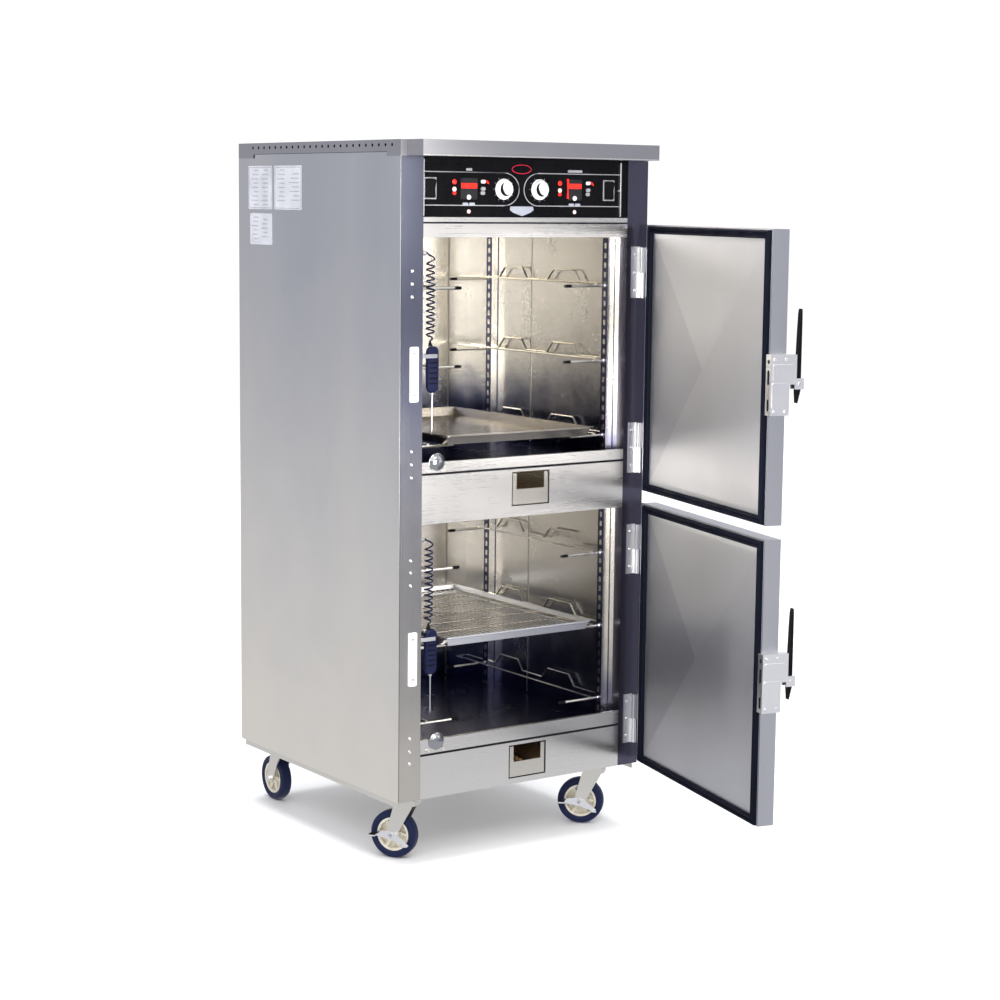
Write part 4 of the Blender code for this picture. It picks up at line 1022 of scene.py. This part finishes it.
def add_chips(cavity, seed):
    """Wood chips heaped in the drawer."""
    dice = random.Random(seed)
    low, high = (Vector(c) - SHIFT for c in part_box(f"{cavity}_chip_drawer"))
    heap = Solid()
    for i in range(150):
        size = Vector((dice.uniform(0.008, 0.018), dice.uniform(0.005, 0.010), dice.uniform(0.0016, 0.0034)))
        x = dice.uniform(low.x + 0.014, high.x - 0.014)
        y = dice.uniform(low.y + 0.014, high.y - 0.014)
        z = low.z + 0.006 + 0.026 * (i / 150)
        turn = Matrix.Rotation(dice.uniform(0, 6.28), 4, "Z") @ Matrix.Rotation(dice.uniform(-0.5, 0.5), 4,
                                                                                "X")
        heap.place = Matrix.Translation(SHIFT + Vector((x, y, z))) @ turn
        a, b, c = size / 2
        skew = dice.uniform(-0.3, 0.3) * a
        outline = [(-a, -b), (a * 0.8, -b * 0.9), (a + skew * 0.2, 0), (a * 0.7, b),
                   (-a * 0.8 + skew, b * 0.8)]
        heap.prism(outline, "Z", -c, c)
    heap.done(f"{cavity}_wood_chips", f"{cavity}_drawer", WOOD, "liner_steel", 0, False)
    rim = Solid()
    z = high.z - 0.0002
    for x in (low.x - 0.0004, high.x - 0.0016):
        rim.box((x, low.y + 0.002, z - 0.005), (x + 0.0020, high.y - 0.002, z))
    rim.done(f"{cavity}_drawer_rim", f"{cavity}_drawer", CHIP_STEEL, "liner_steel", 0.0005)


# ---------------------------------------------------------------- doors

def add_door(cavity):
    low = DOOR_LOW[cavity]
    high = low + DOOR_HEIGHT
    left, right = -0.333, 0.361
    body = f"{cavity}_door"
    place = door_place(cavity)

    # The inner plate: a shallow pyramid whose four creases meet in the middle
    inset = 0.0195
    a, b = left + inset, 0.334 - inset
    c, d = low + inset + 0.003, high - inset - 0.003
    middle = ((a + b) / 2, -0.0125 + 0.0090, (c + d) / 2)
    base = -0.0124
    rim = [(a, base, c), (b, base, c), (b, base, d), (a, base, d)]
    inner = [(a + 0.012, base + 0.0010, c + 0.012), (b - 0.012, base + 0.0010, c + 0.012),
             (b - 0.012, base + 0.0010, d - 0.012), (a + 0.012, base + 0.0010, d - 0.012)]
    verts = [place @ Vector(v) for v in rim + inner + [middle]]
    faces = [(0, 1, 5, 4), (1, 2, 6, 5), (2, 3, 7, 6), (3, 0, 4, 7), (4, 5, 8), (5, 6, 8), (6, 7, 8),
             (7, 4, 8), (3, 2, 1, 0)]
    plate = mesh_piece(f"{cavity}_door_cross_break", verts, faces, body, DOOR_INNER, 0,
                       False)
    # Painted shade: the hinge-side triangles take the darker copy of the inner steel.
    plate.data.materials.append(DOOR_PAINTED_SHADE)
    hinge_side = (place @ Vector((b - 0.10, base, middle[2])) + place @ Vector((b, base, middle[2]))) / 2
    for polygon in plate.data.polygons:
        if (polygon.center - hinge_side).length < 0.16 and len(polygon.vertices) == 3:
            polygon.material_index = 1

    # The seal: a mitred ring with two bulbs and a groove between them
    outer = (left + 0.0015, low + 0.003, 0.334, high - 0.003)
    profile = [(0.0005, -0.0122), (0.0, -0.0090), (0.0010, -0.0045), (0.0032, -0.0014), (0.0058, -0.0008),
               (0.0082, -0.0022),
               (0.0096, -0.0052), (0.0108, -0.0054), (0.0122, -0.0030), (0.0145, -0.0018), (0.0172, -0.0026),
               (0.0192, -0.0058), (0.0198, -0.0095), (0.0195, -0.0122)]
    verts, faces = [], []
    for depth, y in profile:
        for x, z in ((outer[0] + depth, outer[1] + depth), (outer[2] - depth, outer[1] + depth),
                     (outer[2] - depth, outer[3] - depth), (outer[0] + depth, outer[3] - depth)):
            verts.append(place @ Vector((x, y, z)))
    n = len(profile)
    for i in range(n):
        for k in range(4):
            j, m = (i + 1) % n, (k + 1) % 4
            faces.append((i * 4 + k, i * 4 + m, j * 4 + m, j * 4 + k))
    seal = mesh_piece(f"{cavity}_door_seal", verts, faces, body, SEAL)
    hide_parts(f"{cavity}_door_gasket")

    hems = Solid(place)
    for z in (low + 0.0008, high - 0.0028):
        hems.box((left + 0.004, -0.0583, z), (right - 0.004, -0.0578, z + 0.0020))
    hems.box((left + 0.0006, -0.0583, low + 0.004), (left + 0.0026, -0.0578, high - 0.004))
    hems.done(f"{cavity}_door_hems", body, DOOR, "brushed_steel", 0.0002)

    # On the free edge: the latch's fixings
    centre = LATCH_MIDDLE[cavity]
    screws = Solid(place)
    for z, y in ((centre + 0.066, -0.015), (centre + 0.066, -0.045), (centre - 0.058, -0.015),
                 (centre - 0.058, -0.045)):
        screws.screw((-0.358, y, z), "X", 0.0042, 0.0020)
    screws.lathe((-0.358, -0.083, centre + 0.007), "X", [(0, -0.0018), (0.0040, -0.0018), (0.0046, -0.0012),
                                                         (0.0046, 0), (0, 0)], 20)
    screws.done(f"{cavity}_latch_screws", body, CHROME, "chrome")
    cover = Solid(place)
    cover.prism(rounded(-0.066, centre + 0.016, -0.010, centre + 0.054, 0.004), "X", -0.3592, -0.3579)
    cover.prism(rounded(-0.050, centre - 0.050, -0.008, centre + 0.010, 0.004), "X", -0.3592, -0.3579)
    cover.done(f"{cavity}_latch_covers", body, PLATE, "chrome", 0.0006)
    # Painted shade: a dark patch on the door's edge stands for the latch opening, with a dark disc for a hole
    # above it.
    slot = Solid(place)
    slot.prism(rounded(-0.3515, centre - 0.058, -0.3415, centre + 0.040, 0.0045), "Y", -0.0043, -0.0038)
    slot.lathe((-0.3465, -0.0040, centre + 0.060), "Y", [(0, 0.0003), (0.0050, 0.0003), (0.0054, 0.0),
                                                         (0, 0)], 24)
    slot.done(f"{cavity}_latch_mouth_painted_shade", body, DARK, "chrome")
    bolt = Solid(place)
    bolt.prism(rounded(-0.3500, centre - 0.030, -0.3430, centre + 0.006, 0.003), "Y", -0.0040, -0.0034)
    bolt.done(f"{cavity}_latch_bolt", body, ZINC, "chrome", 0.0003)

    # A slim curved grip in place of the plain lever
    lever = Solid(place)
    outline = [(-0.0790, 0.014), (-0.0796, 0.080), (-0.0812, 0.130), (-0.0832, 0.1735), (-0.0846, 0.1830),
               (-0.0866, 0.1856),
               (-0.0884, 0.1830), (-0.0888, 0.1700), (-0.0889, 0.1300), (-0.0889, 0.014)]
    lever.prism([(y, centre + z) for y, z in outline], "X", -0.3530, -0.3384)
    neck = [(-0.0768, 0.030), (-0.0768, -0.010), (-0.0790, -0.0395), (-0.0812, -0.0398), (-0.0889, -0.008),
            (-0.0889, 0.030)]
    lever.prism([(y, centre + z) for y, z in neck], "X", -0.3529, -0.3384)
    grip = lever.done(f"{cavity}_lever_grip", f"{cavity}_lever", SATIN_BLACK, "lever_plastic", 0.0022)
    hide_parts(f"{cavity}_latch_lever")
    pin = Solid(place)
    pin.lathe((-0.3577, -0.083, centre + 0.007), "X", [(0, 0), (0.0030, 0), (0.0030, 0.0240), (0, 0.0240)],
              20)
    pin.done(f"{cavity}_lever_pin", f"{cavity}_lever", CHROME, "chrome")

    caps = Solid()
    for rise in HINGE_RISES:
        caps.lathe((0.369, -0.008, low + rise + 0.0012), "Z",
                   [(0, -0.0022), (0.0040, -0.0020), (0.0053, -0.0008), (0.0053, 0.0), (0, 0.0)], 20)
    caps.done(f"{cavity}_hinge_caps", "cabinet", CHROME, "chrome")


# ---------------------------------------------------------------- casters

def add_caster(name):
    swivel = Vector(joint(f"{name}_swivel")["pos_m"])
    roll = joint(f"{name}_roll")
    axle = Vector(roll["pos_m"])
    side = Vector(roll["axis"]).normalized()
    ahead = Vector((swivel.x - axle.x, swivel.y - axle.y, 0)).normalized()
    up = Vector((0, 0, 1))
    if ahead.cross(side).dot(up) < 0:
        side = -side
    rows = Matrix((ahead, side, up)).transposed().to_4x4()
    place = Matrix.Translation(axle) @ rows
    roller, fork = f"{name}_roller", f"{name}_caster"

    tyre = Solid(place)
    half = 0.016
    profile = [(0.0445, -0.0128), (0.0470, -0.0150), (0.0520, -0.0160), (0.0570, -0.0158), (0.0612, -0.0140),
               (0.0630, -0.0105),
               (0.0635, -0.0055), (0.0635, 0.0055), (0.0630, 0.0105), (0.0612, 0.0140), (0.0570, 0.0158),
               (0.0520, 0.0160),
               (0.0470, 0.0150), (0.0445, 0.0128), (0.0432, 0.0), (0.0445, -0.0128)]
    tyre.lathe((0, 0, 0), "Y", profile, 56)
    ring = tyre.done(f"{name}_tyre", roller, TYRE, "caster_tyre")
    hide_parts(f"{name}_wheel")
    rim = Solid(place)
    rim.lathe((0, 0, 0), "Y", [(0.0380, -0.0118), (0.0400, -0.0132), (0.0445, -0.0132), (0.0452, -0.0100),
                               (0.0436, 0.0), (0.0452, 0.0100),
                               (0.0445, 0.0132), (0.0400, 0.0132), (0.0380, 0.0118), (0.0370, 0.0060),
                               (0.0370, -0.0060), (0.0380, -0.0118)], 56)
    rim.lathe((0, 0, 0), "Y", [(0.0058, -half + 0.0006), (0.0130, -half + 0.0006), (0.0145, -0.0130),
                               (0.0165, -0.0060), (0.0165, 0.0060),
                               (0.0145, 0.0130), (0.0130, half - 0.0006), (0.0058, half - 0.0006),
                               (0.0058, -half + 0.0006)], 40)
    rim.lathe((0, 0, 0), "Y", [(0.0150, -0.0018), (0.0385, -0.0018), (0.0385, 0.0018), (0.0150, 0.0018),
                               (0.0150, -0.0018)], 40)
    for i in range(6):
        angle = 2 * math.pi * i / 6
        spoke = Solid(place @ Matrix.Rotation(angle, 4, "Y"))
        spoke.prism([(0.0135, -0.0062), (0.0390, -0.0040), (0.0390, 0.0040), (0.0135, 0.0062)], "Y", -0.0088,
                    0.0088)
        start = len(rim.verts)
        rim.verts += spoke.verts
        rim.faces += [tuple(start + k for k in face) for face in spoke.faces]
    rim.done(f"{name}_rim", roller, CREAM, "caster_tyre", 0.0005)

    nuts = Solid(place)
    for direction, near, far in ((1, 0.0216, 0.0272), (-1, 0.0256 if name.startswith("front") else 0.0216,
                                                       0.0280)):
        profile = [(0, direction * far), (0.0066, direction * far), (0.0078, direction * (far - 0.0012)),
                   (0.0078, direction * near), (0, direction * near)]
        nuts.lathe((0, 0, 0), "Y", profile, 6)
    nuts.done(f"{name}_axle_nuts", fork, CHROME, "chrome", 0.0003)
    head = Solid(Matrix.Translation(swivel))
    head.lathe((0, 0, 0), "Z", [(0.0200, -0.0006), (0.0318, -0.0006), (0.0336, -0.0020), (0.0340, -0.0040),
                                (0.0328, -0.0062), (0.0296, -0.0074),
                                (0.0200, -0.0074), (0.0200, -0.0006)], 40)
    head.lathe((0, 0, 0), "Z", [(0, -0.0246), (0.0070, -0.0246), (0.0078, -0.0236), (0.0078, -0.0205),
                                (0, -0.0205)], 6)
    head.done(f"{name}_race", fork, ZINC, "chrome")

    if name.startswith("front"):
        pads = Solid(place)
        pads.box((-0.0565, -0.0412, -0.0002), (-0.0395, -0.0270, 0.0016))
        for i in range(4):
            pads.box((-0.0550 + 0.0040 * i, -0.0405, 0.0012), (-0.0532 + 0.0040 * i, -0.0280, 0.0026))
        pads.done(f"{name}_brake_pad", f"{name}_lock", SATIN_BLACK, "chrome", 0.0003)


def add_floor():
    mesh = bpy.data.meshes.new("floor")
    size = 9.0
    mesh.from_pydata([(-size, -size, 0), (size, -size, 0), (size, size, 0), (-size, size, 0)], [],
                     [(0, 1, 2, 3)])
    floor = bpy.data.objects.new("floor", mesh)
    bpy.context.scene.collection.objects.link(floor)
    surface = Surface("floor_white", (0.93, 0.94, 0.97), 0.6)
    cloud = surface.noise((0.6, 0.6, 0.6), 1.0, 2.0)
    surface.roughness(surface.ranged(cloud, 0.55, 0.65))
    # Glossy rays meet a fixed grey here in place of the floor's own colour
    seen = surface.node("ShaderNodeLightPath")
    grey = surface.node("ShaderNodeEmission", Color=(0.70, 0.705, 0.74, 1), Strength=1.0)
    blend = surface.node("ShaderNodeMixShader")
    surface.link(seen.outputs["Is Glossy Ray"], blend.inputs[0])
    surface.link(surface.shader.outputs[0], blend.inputs[1])
    surface.link(grey.outputs[0], blend.inputs[2])
    surface.link(blend.outputs[0], surface.tree.nodes["Material Output"].inputs["Surface"])
    floor.data.materials.append(surface.mat)


add_camera()
for cavity_name in CAVITIES:
    add_probe(cavity_name)
add_world()
add_floor()
area_light("key", (-3.0, -1.6, 3.2), (0, 0.3, 0.9), (2.2, 2.2), 40, (1.0, 0.98, 0.95))
area_light("front_fill", (-1.7, -3.9, 2.6), (0, 0.3, 0.9), (2.4, 2.0), 14, (0.97, 0.98, 1.0))
area_light("inside_upper", (-0.30, -0.80, 1.72), (0.10, 0.7, 1.30), (0.45, 0.40), 5, (1.0, 0.96, 0.89))
area_light("inside_lower", (-0.30, -0.80, 1.00), (0.10, 0.7, 0.60), (0.45, 0.40), 5, (1.0, 0.96, 0.89))
overhead = bpy.data.lights.new("overhead", "SUN")
overhead.energy = 2.2
overhead.angle = math.radians(30)
overhead_lamp = bpy.data.objects.new("overhead", overhead)
bpy.context.scene.collection.objects.link(overhead_lamp)
dress_cad_parts()
add_controls()
add_body_details()
add_sill_stops()
for index, cavity_name in enumerate(CAVITIES):
    add_cavity(cavity_name)
    add_pan(cavity_name)
    add_chips(cavity_name, 11 + index)
    add_door(cavity_name)
for caster_name in CASTER_NAMES:
    add_caster(caster_name)
